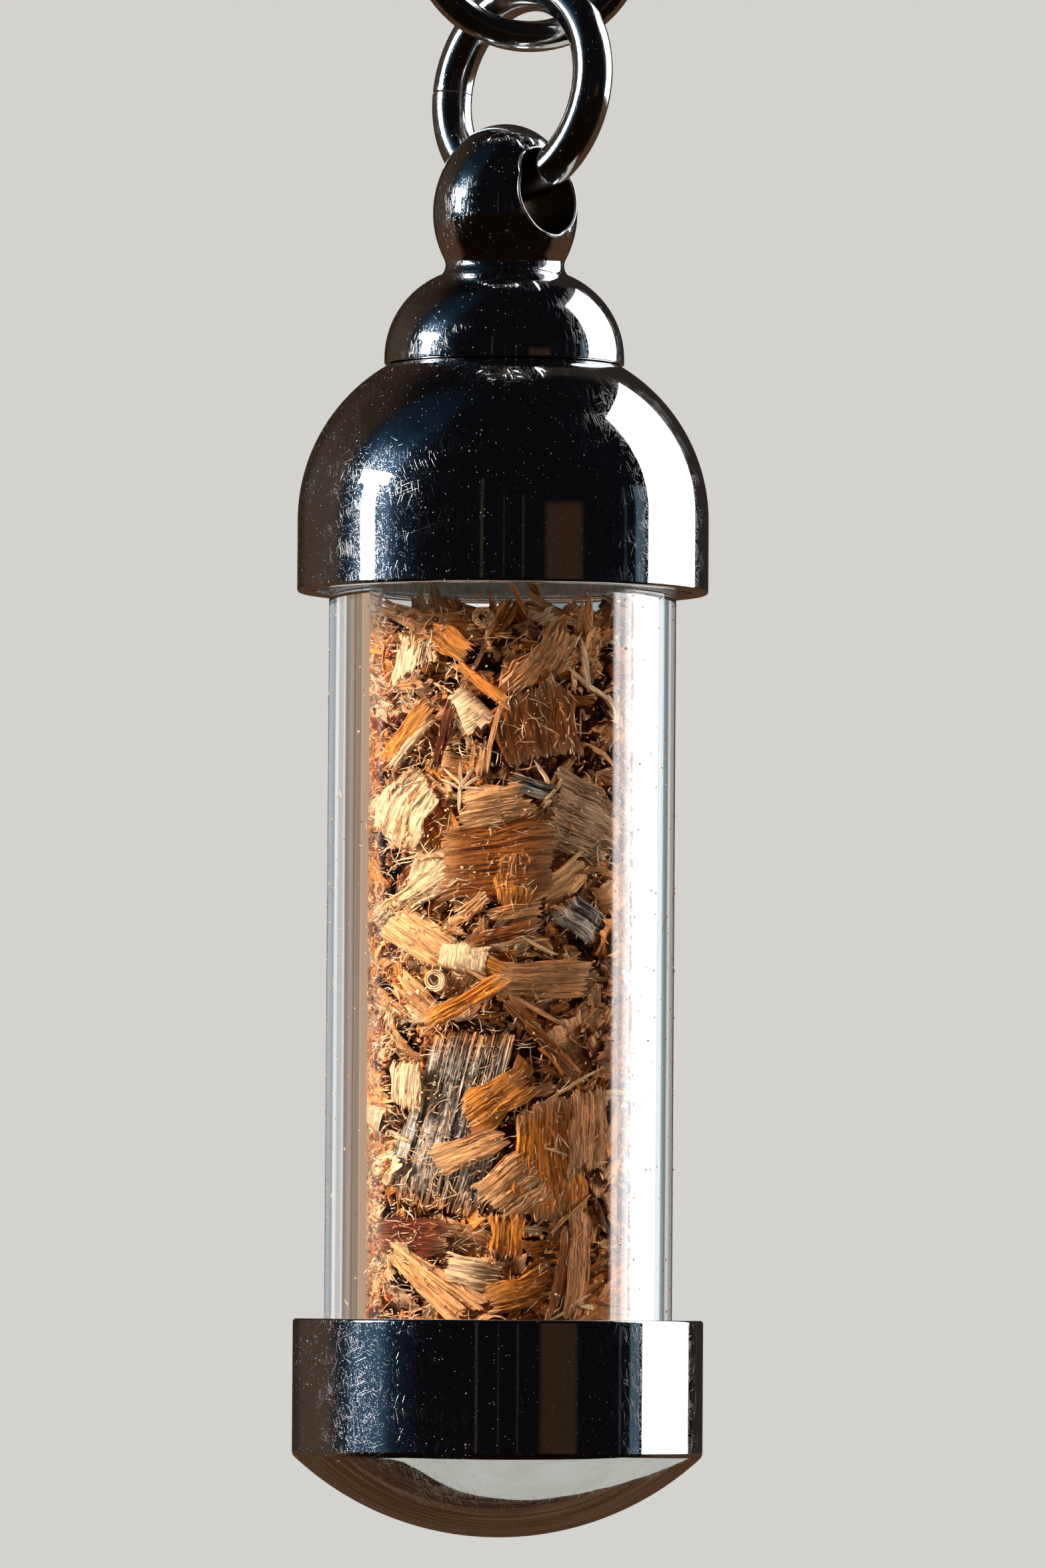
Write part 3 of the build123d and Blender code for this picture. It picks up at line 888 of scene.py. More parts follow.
def split_chip(length, width, thick, rows, columns, fray=0.05, ridge=0.3, curl=0.0, cup=0.0, twist=0.0,
               taper=0.5):
    """A chip split along its grain (y), with ridges along it and torn ends."""
    s = np.repeat(np.linspace(-1, 1, rows + 1), columns + 1)
    t = np.tile(np.linspace(-1, 1, columns + 1), rows + 1)
    column = np.tile(np.arange(columns + 1), rows + 1)
    row = np.repeat(np.arange(rows + 1), columns + 1)
    slant = rng.normal(0, 0.12 * width, (2, 1)) * np.linspace(-1, 1, columns + 1)
    ends = rng.normal(0, fray, (2, columns + 1)) + slant + 0.1 * width * soft_noise(columns + 1, 4)
    torn = np.where(s > 0, ends[0][column], ends[1][column])
    along = s * length / 2 + np.where(s > 0, 1, -1) * np.abs(s) ** 2 * torn
    across = t * width / 2 * (1 + 0.2 * soft_noise(rows + 1, 5)[row])
    across = across + 0.07 * width * soft_noise(rows + 1, 3)[row]
    coarse = 0.6 * soft_noise(columns + 1, max(4, columns // 3))[column]
    ridges = coarse + 0.6 * rng.normal(0, 1, columns + 1)[column] + 0.35 * rng.normal(0, 1, len(s))
    thin = (1 - taper * s**4) * (1 - 0.35 * t**6)
    wave = 0.4 * thick * soft_noise(rows + 1, 5)[row]
    top = np.stack([across, along, wave + thick * thin / 2 + ridges * ridge * thick * thin], -1)
    bottom = np.stack([across, along, wave - thick * thin / 2 + 0.5 * ridges * ridge * thick * thin], -1)
    points = np.concatenate([top, bottom])
    grain = points.copy()
    edge = np.tile(np.abs(s) ** 5, 2)
    if twist:
        turn = twist * points[:, 1]
        x, z = points[:, 0].copy(), points[:, 2].copy()
        points[:, 0] = x * np.cos(turn) - z * np.sin(turn)
        points[:, 2] = x * np.sin(turn) + z * np.cos(turn)
    return bend(bend(points, 0, cup), 1, curl), slab_quads(rows, columns), grain, edge


def rolled_chip(across, inner, turns, thick, rows, columns, cone=0.0):
    """A thin ribbon rolled up on itself round the x axis."""
    s = np.repeat(np.linspace(0, 1, rows + 1), columns + 1)
    t = np.tile(np.linspace(-1, 1, columns + 1), rows + 1)
    turn = 2 * pi * turns * s
    radius = (inner + (thick + 0.02) * turns * s) * (1 + cone * t)
    wobble = 0.03 * rng.normal(0, 1, len(s)) * np.minimum(1, 3 * np.abs(t) ** 4)
    widening = np.repeat(soft_noise(rows + 1, 6), columns + 1)
    across_at = t * across / 2 * (1 + 0.1 * widening) + wobble
    layers = [np.stack([across_at, (radius + side) * np.sin(turn), (radius + side) * np.cos(turn)], -1)
              for side in (thick / 2, -thick / 2)]
    grain = np.tile(np.stack([across_at, turn * radius, 0 * s], -1), (2, 1))
    return np.concatenate(layers), slab_quads(rows, columns), grain, np.tile(np.abs(t) ** 4, 2)


def splinter(length, width, thick, rows=6, bow=0.0, kink=0.0):
    """A thin splinter that tapers to both ends."""
    s = np.linspace(-1, 1, rows + 1)
    narrow = np.clip(1 - np.abs(s) ** 3 * rng.uniform(0.5, 0.95), 0.04, 1)
    side = kink * length * soft_noise(rows + 1, 4)
    faces = []
    for z in (0.5, -0.5):
        lines = [np.stack([side + x * width * narrow, s * length / 2, z * thick * narrow], -1)
                 for x in (-0.5, 0.5)]
        faces.append(np.stack(lines, 1).reshape(-1, 3))
    points = np.concatenate(faces)
    edge = np.tile(np.repeat(np.abs(s) ** 3, 2), 2)
    return bend(points, 1, bow), slab_quads(rows, 1), points.copy(), edge


def directions(azimuth):
    """Outward, right and up at an azimuth, as seen from outside the tube."""
    a = radians(azimuth)
    return np.array([sin(a), -cos(a), 0]), np.array([cos(a), sin(a), 0]), np.array([0.0, 0.0, 1.0])


def place(heap, shape, azimuth, level, tilt, tone, lean=(0, 0), depth=0.0, end_on=False, shade=1.0,
          free=False):
    """Lays a piece against the glass; tilt turns its grain up from level, lean tips it out of the wall."""
    points, quads, grain, edge = shape
    outward, right, up = directions(azimuth)
    turn = radians(tilt)
    along = right * cos(turn) + up * sin(turn)
    across = np.cross(along, outward)
    frame_axes = np.array([across, along, outward])
    if end_on:
        frame_axes = np.array([outward, along, -across])
    tip, roll = radians(lean[0]), radians(lean[1])
    rotate_tip = np.array([[1, 0, 0], [0, cos(tip), sin(tip)], [0, -sin(tip), cos(tip)]])
    rotate_roll = np.array([[cos(roll), 0, -sin(roll)], [0, 1, 0], [sin(roll), 0, cos(roll)]])
    axes = rotate_tip @ rotate_roll @ frame_axes
    world = points @ axes
    limit = BORE_CLEAR - rng.uniform(0, 0.03)
    world += outward * (limit - 0.1) + up * level
    reach = np.hypot(world[:, 0], world[:, 1])
    world -= outward * (np.percentile(reach, 85) - limit + depth)
    reach = np.hypot(world[:, 0], world[:, 1])
    held = limit - 0.04 * np.clip(reach - limit, 0, 1)
    world[:, :2] *= np.where(reach > limit, held / np.maximum(reach, 1e-9), 1)[:, None]
    world[:, 2] = np.clip(world[:, 2], FILL_LOW, rim + 1.5 if free else None)
    base = np.array(TONES[tone]) * shade
    light = np.array(TONES["cream"])
    tint = base + (light - base) * (0.28 * edge)[:, None]
    tint = tint * rng.normal(1, 0.06, (len(points), 1))
    heap.add(world, quads, np.clip(tint, 0.01, 0.95), grain)


# Kinds of single piece: thickness, cupping and twist
PIECE_KINDS = {"strip": (0.13, 0.0, 0.15), "sheet": (0.09, 0.2, 0.04), "block": (0.26, 0.2, 0.04),
               "chip": (0.14, 0.12, 0.04)}

# Single pieces: kind, azimuth, height, tilt of the grain, length, width, tone, lean, curl
FEATURES = (
    ("chip", -22, 25.55, -35, 1.25, 0.70, "amber", (8, 4), 0.0),
    ("chip", -36, 25.2, 80, 0.95, 1.15, "cream", (0, 10), 0.3),
    ("chip", 9, 24.65, 42, 1.15, 0.72, "tan", (6, -6), 0.0),
    ("chip", 22, 25.35, 60, 1.15, 1.0, "tan", (-6, 5), 0.2),
    ("strip", -8, 24.35, -38, 1.85, 0.32, "amber", (5, 20), 0.0),
    ("chip", -41, 22.95, 50, 2.1, 0.55, "amber", (0, 0), 0.1),
    ("chip", -39, 22.7, 48, 1.9, 0.22, "cream", (0, 0), 0.1),
    ("strip", -24, 22.85, 76, 1.95, 0.26, "red", (0, 10), 0.0),
    ("splinter", -3, 22.95, 78, 2.3, 0.14, "pale", (0, 0), 0.15),
    ("splinter", 20, 21.4, -57, 1.8, 0.1, "cream", (-6, 0), 0.0),
    ("splinter", 22, 21.35, 48, 0.75, 0.1, "cream", (-6, 0), 0.0),
    ("splinter", 6, 26.85, -65, 1.2, 0.14, "amber", (0, 0), 0.1),
    ("splinter", 41, 24.2, -42, 2.2, 0.12, "cream", (0, 0), 0.4),
    ("splinter", 36, 24.9, -80, 1.5, 0.16, "cream", (0, 0), 0.3),
    ("sheet", -3, 20.9, 14, 1.75, 1.15, "pale", (0, 8), 0.15),
    ("block", 38, 20.5, -22, 2.3, 2.2, "ash", (0, 0), 0.15),
    ("chip", -42, 20.8, 60, 1.7, 1.6, "cream", (0, 0), 0.3),
    ("chip", -39, 18.3, 30, 2.9, 0.62, "cream", (4, 18), 0.1),
    ("chip", -34, 17.15, -32, 2.2, 1.1, "pale", (0, -8), 0.2),
    ("sheet", -1, 19.4, 7, 3.0, 1.9, "brown", (0, 0), 0.1),
    ("chip", 6, 17.85, 10, 1.35, 0.4, "tan", (8, 0), 0.0),
    ("chip", -11, 18.0, 44, 0.85, 0.42, "pale", (10, 10), 0.0),
    ("chip", 1, 17.2, 16, 1.9, 0.45, "brown", (0, 6), 0.0),
    ("sheet", 19, 15.95, 2, 2.4, 0.98, "tan", (0, 6), 0.12),
    ("chip", -5, 16.4, -28, 1.05, 0.42, "amber", (10, 10), 0.3),
    ("strip", -14, 15.35, 30, 2.6, 0.5, "orange", (0, 6), 0.1),
    ("splinter", 6, 15.4, -31, 3.5, 0.15, "pale", (0, 0), 0.1),
    ("strip", 17, 14.3, -48, 2.8, 0.34, "brown", (0, 12), 0.0),
    ("splinter", 10, 17.0, 11, 1.3, 0.11, "pale", (0, 0), -0.2),
    ("splinter", 16, 16.9, -28, 1.1, 0.1, "cream", (0, 0), 0.1),
    ("chip", -40, 12.9, 84, 1.15, 0.9, "cream", (0, 0), 0.2),
    ("chip", 6, 10.0, 42, 1.6, 1.5, "pale", (-5, 5), 0.15),
    ("chip", -1, 12.5, 36, 2.0, 1.15, "amber", (4, 8), 0.3),
    ("chip", -12, 11.1, 24, 1.9, 0.75, "pale", (-4, 4), 0.25),
    ("sheet", -37, 8.6, 0, 2.3, 1.0, "red", (0, 0), 0.1),
    ("bundle", -29, 7.35, -38, 3.2, 0.75, "pale", (0, 0), 0.1),
    ("sheet", 38, 11.6, 88, 2.2, 1.2, "tan", (0, 0), 0.1),
    ("sheet", 34, 7.8, 85, 3.0, 0.62, "tan", (0, 10), 0.1),
    ("sheet", 27, 7.5, 80, 2.6, 0.5, "brown", (0, 14), 0.1),
    ("chip", 3, 8.65, 86, 1.15, 0.85, "orange", (8, 0), 0.3),
    ("chip", -10, 7.6, -10, 1.4, 0.8, "cream", (-14, 0), 0.6),
    ("chip", 10, 7.1, 20, 1.8, 1.0, "amber", (-10, 6), 0.4),
    ("strip", 40, 9.9, -67, 2.2, 0.16, "red", (0, 0), 0.0),
    ("splinter", 30, 12.9, 30, 2.2, 0.07, "cream", (0, 0), 0.2),
    ("splinter", 33, 10.9, -12, 2.0, 0.07, "cream", (0, 0), 0.1),
    ("splinter", 30, 9.3, 42, 1.6, 0.1, "pale", (0, 0), 0.0),
    ("splinter", 30, 6.6, 28, 1.5, 0.09, "cream", (0, 0), 0.0),
)

# Rolled shavings: azimuth, height, tilt, width, inner radius, turns, tone, seen from the end, cone
ROLLS = (
    (-8, 26.25, 20, 0.5, 0.09, 3.6, "pale", True, 0.0),
    (-27, 15.9, 0, 0.6, 0.16, 2.5, "cream", True, 0.0),
    (-14, 23.6, 35, 1.25, 0.30, 1.3, "cream", False, 0.25),
    (-15, 16.55, 80, 1.25, 0.36, 1.4, "cream", False, 0.05),
    (50, 18.4, 40, 0.9, 0.25, 1.5, "pale", False, 0.1),
    (-60, 12.0, 70, 1.0, 0.28, 1.6, "cream", False, 0.1),
)

# Chips that the frame holds: width, length, thickness, azimuth, height above the pad, tilt, tone
FRAME_CHIPS = {
    "grey_chip_large": (2.5, 5.0, 0.34, -22, 8.95, -14, "grey"),
    "grey_chip_upper": (1.1, 0.75, 0.25, 13, 18.45, 8, "grey"),
    "grey_chip_middle": (1.2, 1.4, 0.3, 36, 14.75, 12, "grey"),
    "amber_chip_square": (1.0, 1.35, 0.28, 6.5, 15.75, -6, "amber"),
    "amber_sheet": (2.3, 2.1, 0.22, 14.5, 20.25, 10, "brown"),
    "orange_chip": (1.8, 3.2, 0.3, 21, 7.85, 4, "orange"),
}

# Chips that lie across their frame block: width, length and tilt along the grain
CHIP_GRAIN = {"grey_chip_upper": (0.5, 1.1, 70), "grey_chip_middle": (0.85, 1.4, 54)}


# Splinters that spread from one point: its azimuth, its height, and their angles
STAR = (-16, 21.4, (-8, 31, 62, 97, 128, 164, 260))


def make_core():
    """The middle of the heap: crumbled wood, its brown darkened as painted shade, that shows only through
    gaps.
    """
    top = FILL_HIGH - CORE_BELOW_TOP
    wall = [(CORE_RADIUS, level) for level in np.linspace(FILL_LOW, top, 150)]
    path = [(0.0, FILL_LOW)] + wall + [(0.0, top)]
    piece = lathe("shavings_core_painted_shade", path, closed=False, steps=160,
                  shape=lambda radius, _, angles: radius + CORE_CRUMBLE * rng.standard_normal(len(angles)))
    points = np.empty(len(piece.data.vertices) * 3)
    piece.data.vertices.foreach_get("co", points)
    # Painted shade: the core's brown is darkened, with a random spread, to stand for the shade deep in the
    # heap
    painted_shade_tints = np.array([TONES["brown"]]) * CORE_PAINTED_SHADE * rng.uniform(0.5, 1.6, (len(points) // 3, 1))
    set_wood_attributes(piece.data, painted_shade_tints, points / MM)
    return piece


def random_tone_lit_left(azimuth):
    """Paler pieces on the left of the tube, browner ones on the right: painted light on the lamp-lit left and
    painted shade on the right.
    """
    left = 0.5 - 0.5 * sin(radians(azimuth))
    tones = ["cream", "pale", "tan", "amber", "orange", "brown", "red"]
    # The shares shift with the side of the tube as painted light and shade
    shares = np.array([0.08 + 0.2 * left, 0.25, 0.22 - 0.1 * left, 0.18, 0.12, 0.24 - 0.23 * left,
                       0.03 - 0.03 * left])
    return rng.choice(tones, p=shares / shares.sum())


def near_feature(azimuth, level):
    """How far a random piece stands back where a single piece lies in front of it."""
    def covers(at, high, length, width, tilt):
        aside = abs((azimuth - at + 180) % 360 - 180) * radians(1) * BORE_CLEAR
        t = radians(tilt)
        return (aside < (length * abs(cos(t)) + width * abs(sin(t))) / 2 + 0.15
                and abs(high - level) < (length * abs(sin(t)) + width * abs(cos(t))) / 2 + 0.15)

    for width, length, _, at, above, tilt, _ in FRAME_CHIPS.values():
        if covers(at, above + tube_low, length, width, 90 + tilt):
            return 0.75
    for kind, at, high, tilt, length, width, *_ in FEATURES:
        if covers(at, high, length, width, tilt):
            return 0.35
    return 0.0


def scatter_spots(count):
    """Random places all round the heap: an azimuth and a height each."""
    for _ in range(count):
        yield rng.uniform(-180, 180), rng.uniform(FILL_LOW + 0.3, FILL_HIGH)


def random_lean(tip, roll):
    return rng.normal(0, tip), rng.normal(0, roll)


def make_flakes(name, count, small, large):
    """Split flakes between two lengths."""
    heap = Heap()
    for azimuth, level in scatter_spots(count):
        length = rng.uniform(small, large)
        width = length * rng.uniform(0.35, 0.8)
        thick = rng.uniform(0.05, 0.13)
        shape = split_chip(length, width, thick, 8, 10, fray=0.1 * length, ridge=0.25,
                           curl=rng.normal(0.15, 0.45), cup=rng.normal(0.1, 0.3), twist=rng.normal(0, 0.25))
        depth = near_feature(azimuth, level) + rng.uniform(0, 0.5)
        place(heap, shape, azimuth, level, rng.normal(20, 48), random_tone_lit_left(azimuth), random_lean(16, 20),
              depth, shade=rng.uniform(0.75, 1.15))
    return heap.build(name)


def make_curls():
    """The rolled shavings that stand out, and small ones at random."""
    heap = Heap()
    for azimuth, level, tilt, across, inner, turns, tone, end_on, cone in ROLLS:
        shape = rolled_chip(across, inner, turns, 0.045, 30, 6, cone)
        place(heap, shape, azimuth, level, tilt, tone, (0, 0), 0.0, end_on=end_on)
    for azimuth, level in scatter_spots(CURL_COUNT):
        shape = rolled_chip(rng.uniform(0.35, 1.0), rng.uniform(0.15, 0.5), rng.uniform(0.4, 1.3), 0.04,
                            16, 4, rng.normal(0, 0.12))
        place(heap, shape, azimuth, level, rng.uniform(-90, 90), random_tone_lit_left(azimuth), random_lean(25, 25),
              near_feature(azimuth, level) + rng.uniform(0, 0.25), end_on=rng.random() < 0.25)
    return heap.build("shavings_curls", 60)


def make_splinters():
    heap = Heap()
    for azimuth, level in scatter_spots(SPLINTER_COUNT):
        length = rng.uniform(0.5, 2.4)
        shape = splinter(length, rng.uniform(0.05, 0.16), rng.uniform(0.04, 0.1), 5, rng.normal(0, 0.35),
                         0.03)
        place(heap, shape, azimuth, level, rng.normal(15, 50), random_tone_lit_left(azimuth), random_lean(14, 20),
              near_feature(azimuth, level) + rng.uniform(0, 0.4))
    return heap.build("shavings_splinters")


def make_fibres():
    """Fine pale fibres and torn threads all over the heap, most of them on the left, where crowding the pale
    fibres is painted light on the lit side.
    """
    heap = Heap()
    for number, (azimuth, level) in enumerate(scatter_spots(FIBRE_COUNT)):
        # Two in five are moved to the left: real loose fibres, crowded there as painted light
        if number % 5 < 2:
            azimuth = rng.normal(-48, 26)
        length = 0.06 + 0.75 * rng.random() ** 3
        width = rng.uniform(0.012, 0.03)
        shape = splinter(length, width, width, 3, rng.normal(0, 1.6), 0.08)
        place(heap, shape, azimuth, level, rng.normal(20, 50), rng.choice(["white", "cream", "pale"]),
              (rng.normal(0, 14), 0), rng.uniform(0, 0.12))
    return heap.build("shavings_fibres")


def make_crumbs():
    heap = Heap()
    for azimuth, level in scatter_spots(CRUMB_COUNT):
        size = rng.uniform(0.03, 0.14)
        shape = splinter(size * rng.uniform(1, 2), size, size * 0.7, 2, 0, 0.1)
        place(heap, shape, azimuth, level, rng.uniform(-90, 90), random_tone_lit_left(azimuth), random_lean(30, 30),
              rng.uniform(0, 0.2) + 0.7 * near_feature(azimuth, level))
    return heap.build("shavings_crumbs")


def feature_shape(kind, length, width, curl):
    """A chip, strip, sheet or block as finely divided as its size needs, or a splinter."""
    if kind == "splinter":
        return splinter(length, width, min(width, 0.09), 9, curl, 0.04)
    thick, cup, twist = PIECE_KINDS[kind]
    rows, columns = max(8, int(length / 0.1)), max(7, int(width / 0.036))
    return split_chip(length, width, thick, rows, columns, 0.075, 0.26, curl, cup, twist)


def add_fuzz(heap, azimuth, level, tilt, length, width):
    """Loose fibres that have lifted from the face and ends of a piece."""
    for _ in range(int(8 + 9 * length * width)):
        along, across = rng.uniform(-0.55, 0.55) * length, rng.uniform(-0.5, 0.5) * width
        t = radians(tilt)
        aside = along * cos(t) - across * sin(t)
        rise = along * sin(t) + across * cos(t)
        fibre = splinter(0.1 + 0.5 * rng.random() ** 2, rng.uniform(0.01, 0.024), 0.014, 4,
                         rng.normal(0, 0.8), 0.08)
        place(heap, fibre, azimuth + degrees(aside / BORE_CLEAR), level + rise, tilt + rng.normal(0, 16),
              rng.choice(["white", "cream", "pale"]), (rng.normal(0, 6), 0))


def add_star(heap):
    """Short splinters that spread from one point."""
    azimuth, level, angles = STAR
    for angle in angles:
        across, rise = 0.3 * cos(radians(angle)), 0.3 * sin(radians(angle))
        spoke = splinter(rng.uniform(0.5, 0.95), 0.09, 0.06, 6, rng.normal(0, 0.3))
        place(heap, spoke, azimuth + across * 15, level + rise, angle + rng.normal(0, 6), "cream")


def make_features():
    heap = Heap()
    for kind, azimuth, level, tilt, length, width, tone, lean, curl in FEATURES:
        if kind == "bundle":
            for strand in np.linspace(-0.5, 0.5, 9):
                shape = split_chip(length * rng.uniform(0.8, 1.05), width / 6, 0.12, 18, 4, 0.04, 0.2, curl,
                                   0, 0.1)
                place(heap, shape, azimuth + strand * 9, level + strand * 0.5, tilt + strand * 12, tone,
                      lean, rng.uniform(0, 0.1))
            continue
        shape = feature_shape(kind, length, width, curl)
        place(heap, shape, azimuth, level, tilt, tone, lean, free=level > 26)
    add_star(heap)
    for kind, azimuth, level, tilt, length, width, *_ in FEATURES:
        if kind != "splinter":
            add_fuzz(heap, azimuth, level, tilt, length, width)
    for width, length, _, azimuth, above, tilt, tone in FRAME_CHIPS.values():
        if tone != "grey":
            add_fuzz(heap, azimuth, tube_low + above, 90 + tilt, length, width)
    return heap.build("shavings_large_pieces")


def make_frame_chip(name):
    """A detailed chip in the place of one of the frame's plain ones."""
    width, length, thick, azimuth, above, tilt, tone = FRAME_CHIPS[name]
    width, length, tilt = CHIP_GRAIN.get(name, (width, length, tilt))
    grey = tone == "grey"
    heap = Heap()
    rows, columns = int(10 + 12 * length), int(10 + 22 * width)
    shape = split_chip(length, width, thick * 0.8, rows, columns, fray=0.05,
                       ridge=0.14 if grey else 0.1, cup=0.1, taper=0.35)
    points, quads, grain, edge = shape
    t = radians(tilt)
    outward, right, up = directions(azimuth)
    half = (width * cos(t) + length * sin(abs(t))) / 2
    reach = sqrt((TUBE_BORE - CHIP_INSET) ** 2 - half**2) - thick / 2
    across = right * cos(t) + up * sin(t)
    along = np.cross(outward, across)
    world = points @ np.array([across, along, outward])
    world = world + outward * (reach + thick / 2 - CHIP_BEHIND_FACE) + up * (tube_low + above)
    spread = np.hypot(world[:, 0], world[:, 1])
    world[:, :2] *= np.minimum(1, BORE_CLEAR / spread)[:, None]
    base = np.repeat([TONES[tone]], len(points), 0)
    tip = np.array(TONES["tan"] if grey else TONES["cream"]) * (0.75 if grey else 1)
    base = base + (tip - base) * np.clip(edge * (1.4 if grey else 0.4), 0, 1)[:, None]
    heap.add(world, quads, base * rng.normal(1, 0.06, (len(points), 1)), grain)
    piece = heap.build(name + "_split", 50)
    material, slot = (weathered_wood, "weathered_wood") if grey else (amber_wood, "amber_wood")
    dress(piece, material, "vial", slot, name)


dress(make_core(), shavings_wood, "vial", "shavings_wood", "wood_shavings")
for size, shortest, longest in (("large", 0.9, 2.3), ("middle", 0.6, 1.5), ("small", 0.3, 0.9),
                                ("tiny", 0.25, 0.7)):
    flakes = make_flakes("shavings_flakes_" + size, FLAKE_COUNT, shortest, longest)
    dress(flakes, shavings_wood, "vial", "shavings_wood")
for make in (make_curls, make_splinters, make_fibres, make_crumbs, make_features):
    dress(make(), shavings_wood, "vial", "shavings_wood")
for chip in FRAME_CHIPS:
    make_frame_chip(chip)


def make_glass_dust():
    """Motes and short fibres that cling to both sides of the glass."""
    heap = Heap()
    for number in range(DUST_COUNT):
        azimuth, level = rng.uniform(-180, 180), rng.uniform(BOTTOM_CAP_HEIGHT - 0.5, rim + 0.3)
        long = rng.random() < 0.22
        length = rng.uniform(0.1, 0.3) if long else rng.uniform(0.02, 0.075)
        width = rng.uniform(0.012, 0.025) if long else length * rng.uniform(0.6, 1)
        shape = splinter(length, width, width * 0.6, 3, rng.normal(0, 2) if long else 0, 0.05)
        place(heap, shape, azimuth, level, rng.uniform(-90, 90), "cream", free=True)
        if number % 3 == 0:
            mote = heap.points[-1]
            mote[:, :2] *= (TUBE_RADIUS + DUST_OUTSIDE) / np.hypot(mote[:, 0], mote[:, 1]).mean()
    return heap.build("glass_dust")


dress(make_glass_dust(), shavings_wood, "vial", "shavings_wood")


# ---------------------------------------------------------------- stage

def aimed(place, target, roll):
    """Stands something at a place, facing a target and rolled by degrees."""
    facing = (target - place).to_track_quat("-Z", "Y").to_matrix().to_4x4()
    return Matrix.Translation(place) @ facing @ Matrix.Rotation(radians(roll), 4, "Z")


# Millimetres and degrees
MIDDLE_HEIGHT = 17
CAMERA_LENS = 283.2
CAMERA_AWAY = 355
CAMERA_ASIDE = 0.62
CAMERA_ROLL = 0.373
TARGET_HEIGHT = 21.67


def add_camera():
    """Looks slightly up at the vial from the height of the bottom cap's rim, with a slight roll."""
    data = bpy.data.cameras.new("camera")
    data.lens = CAMERA_LENS
    data.sensor_width = 36
    data.clip_start = 0.01
    data.clip_end = 20
    camera = add_object("camera", data)
    eye = Vector((CAMERA_ASIDE, -CAMERA_AWAY, BOTTOM_CAP_HEIGHT + drop)) * MM
    target = Vector((CAMERA_ASIDE, 0, TARGET_HEIGHT + drop)) * MM
    camera.matrix_world = aimed(eye, target, CAMERA_ROLL)
    bpy.context.scene.camera = camera


def towards(azimuth, elevation, distance):
    """A point seen from the middle of the vial: azimuth 0 is the front, 90 the right."""
    a, e = radians(azimuth), radians(elevation)
    middle = Vector((0, 0, (MIDDLE_HEIGHT + drop) * MM))
    return middle + Vector((sin(a) * cos(e), -cos(a) * cos(e), sin(e))) * distance


def lamp(name, azimuth, elevation, distance, width, tall, radiance, colour=(1, 1, 1), glossy=True,
         through=True, roll=0):
    """A rectangular soft light that faces the vial, with its brightness given per area."""
    data = bpy.data.lights.new(name, "AREA")
    data.shape = "RECTANGLE"
    data.size, data.size_y = width, tall
    data.energy = radiance * pi * width * tall
    data.color = colour
    light = add_object(name, data)
    light.matrix_world = aimed(towards(azimuth, elevation, distance), towards(0, 0, 0), roll)
    light.visible_camera = False
    light.visible_glossy = glossy
    light.visible_transmission = glossy and through


def only_chrome_sees(card):
    """A stage card that only mirrors see, by their glossy rays."""
    for ray in ("camera", "diffuse", "shadow", "transmission"):
        setattr(card, "visible_" + ray, False)


def disc_mesh(name, level, radii, steps=96):
    """A flat disc, divided into rings."""
    turns = [2 * pi * i / steps for i in range(steps)]
    verts = [(r * cos(a), r * sin(a), level) for r in radii for a in turns] + [(0, 0, level)]
    faces = [[len(verts) - 1, i, (i + 1) % steps] for i in range(steps)]
    for first in range(0, (len(radii) - 1) * steps, steps):
        for i in range(steps):
            after = (i + 1) % steps
            faces.append([first + i, first + steps + i, first + steps + after, first + after])
    return new_mesh_piece(name, verts, faces)


FLOOR_BELOW = 30
BACKGROUND = (0.66, 0.645, 0.615)
FLOOR_COLOUR = (0.26, 0.265, 0.27, 1)
WORLD_FILL = (0.036, 0.031, 0.027)
DARK_ROOM = (0.003, 0.003, 0.004)

# The paper's outline, in depths below the vial: to the right, and behind
PAPER_CORNERS = ((-0.80, 0.16), (-0.56, 0.19), (-0.42, 0.217), (-0.309, 0.289), (-0.176, 0.378),
                 (-0.025, 0.429), (0.15, 0.511), (0.331, 0.593), (0.524, 0.75), (0.736, 1.063),
                 (0.915, 1.531), (1.1, 2.3), (1.7, 2.6), (1.7, -0.3), (-0.80, -0.3))

# What the chrome reflects: azimuths, elevations, softness in degrees, colour
ROOM_SEEN_BY_CHROME = (
    (-200, -101, -20, 50, 9, (0.032, 0.020, 0.013)),
    (-150, -103, -20, 26, 8, (0.062, 0.044, 0.032)),
    (-104, -52, -20, 70, 9, (0.006, 0.012, 0.020)),
    (-99, -62, 0, 42, 6, (0.014, 0.036, 0.062)),
    (-91, -67, 1, 32, 5, (0.085, 0.18, 0.28)),
    (-12.5, -11, -20, 22, 0.4, (0.035, 0.024, 0.018)),
    (0, 1, -20, 12, 0.4, (0.016, 0.011, 0.008)),
    (10.7, 11.7, -20, 12, 0.4, (0.024, 0.018, 0.015)),
    (24, 45, -20, 7, 1.8, (0.032, 0.016, 0.010)),
    (72, 73.5, -20, 16, 0.4, (0.020, 0.026, 0.030)),
    (80, 87, -20, 16, 0.7, (0.060, 0.10, 0.13)),
    (142, 200, -20, 90, 6, (0.024, 0.019, 0.016)),
)

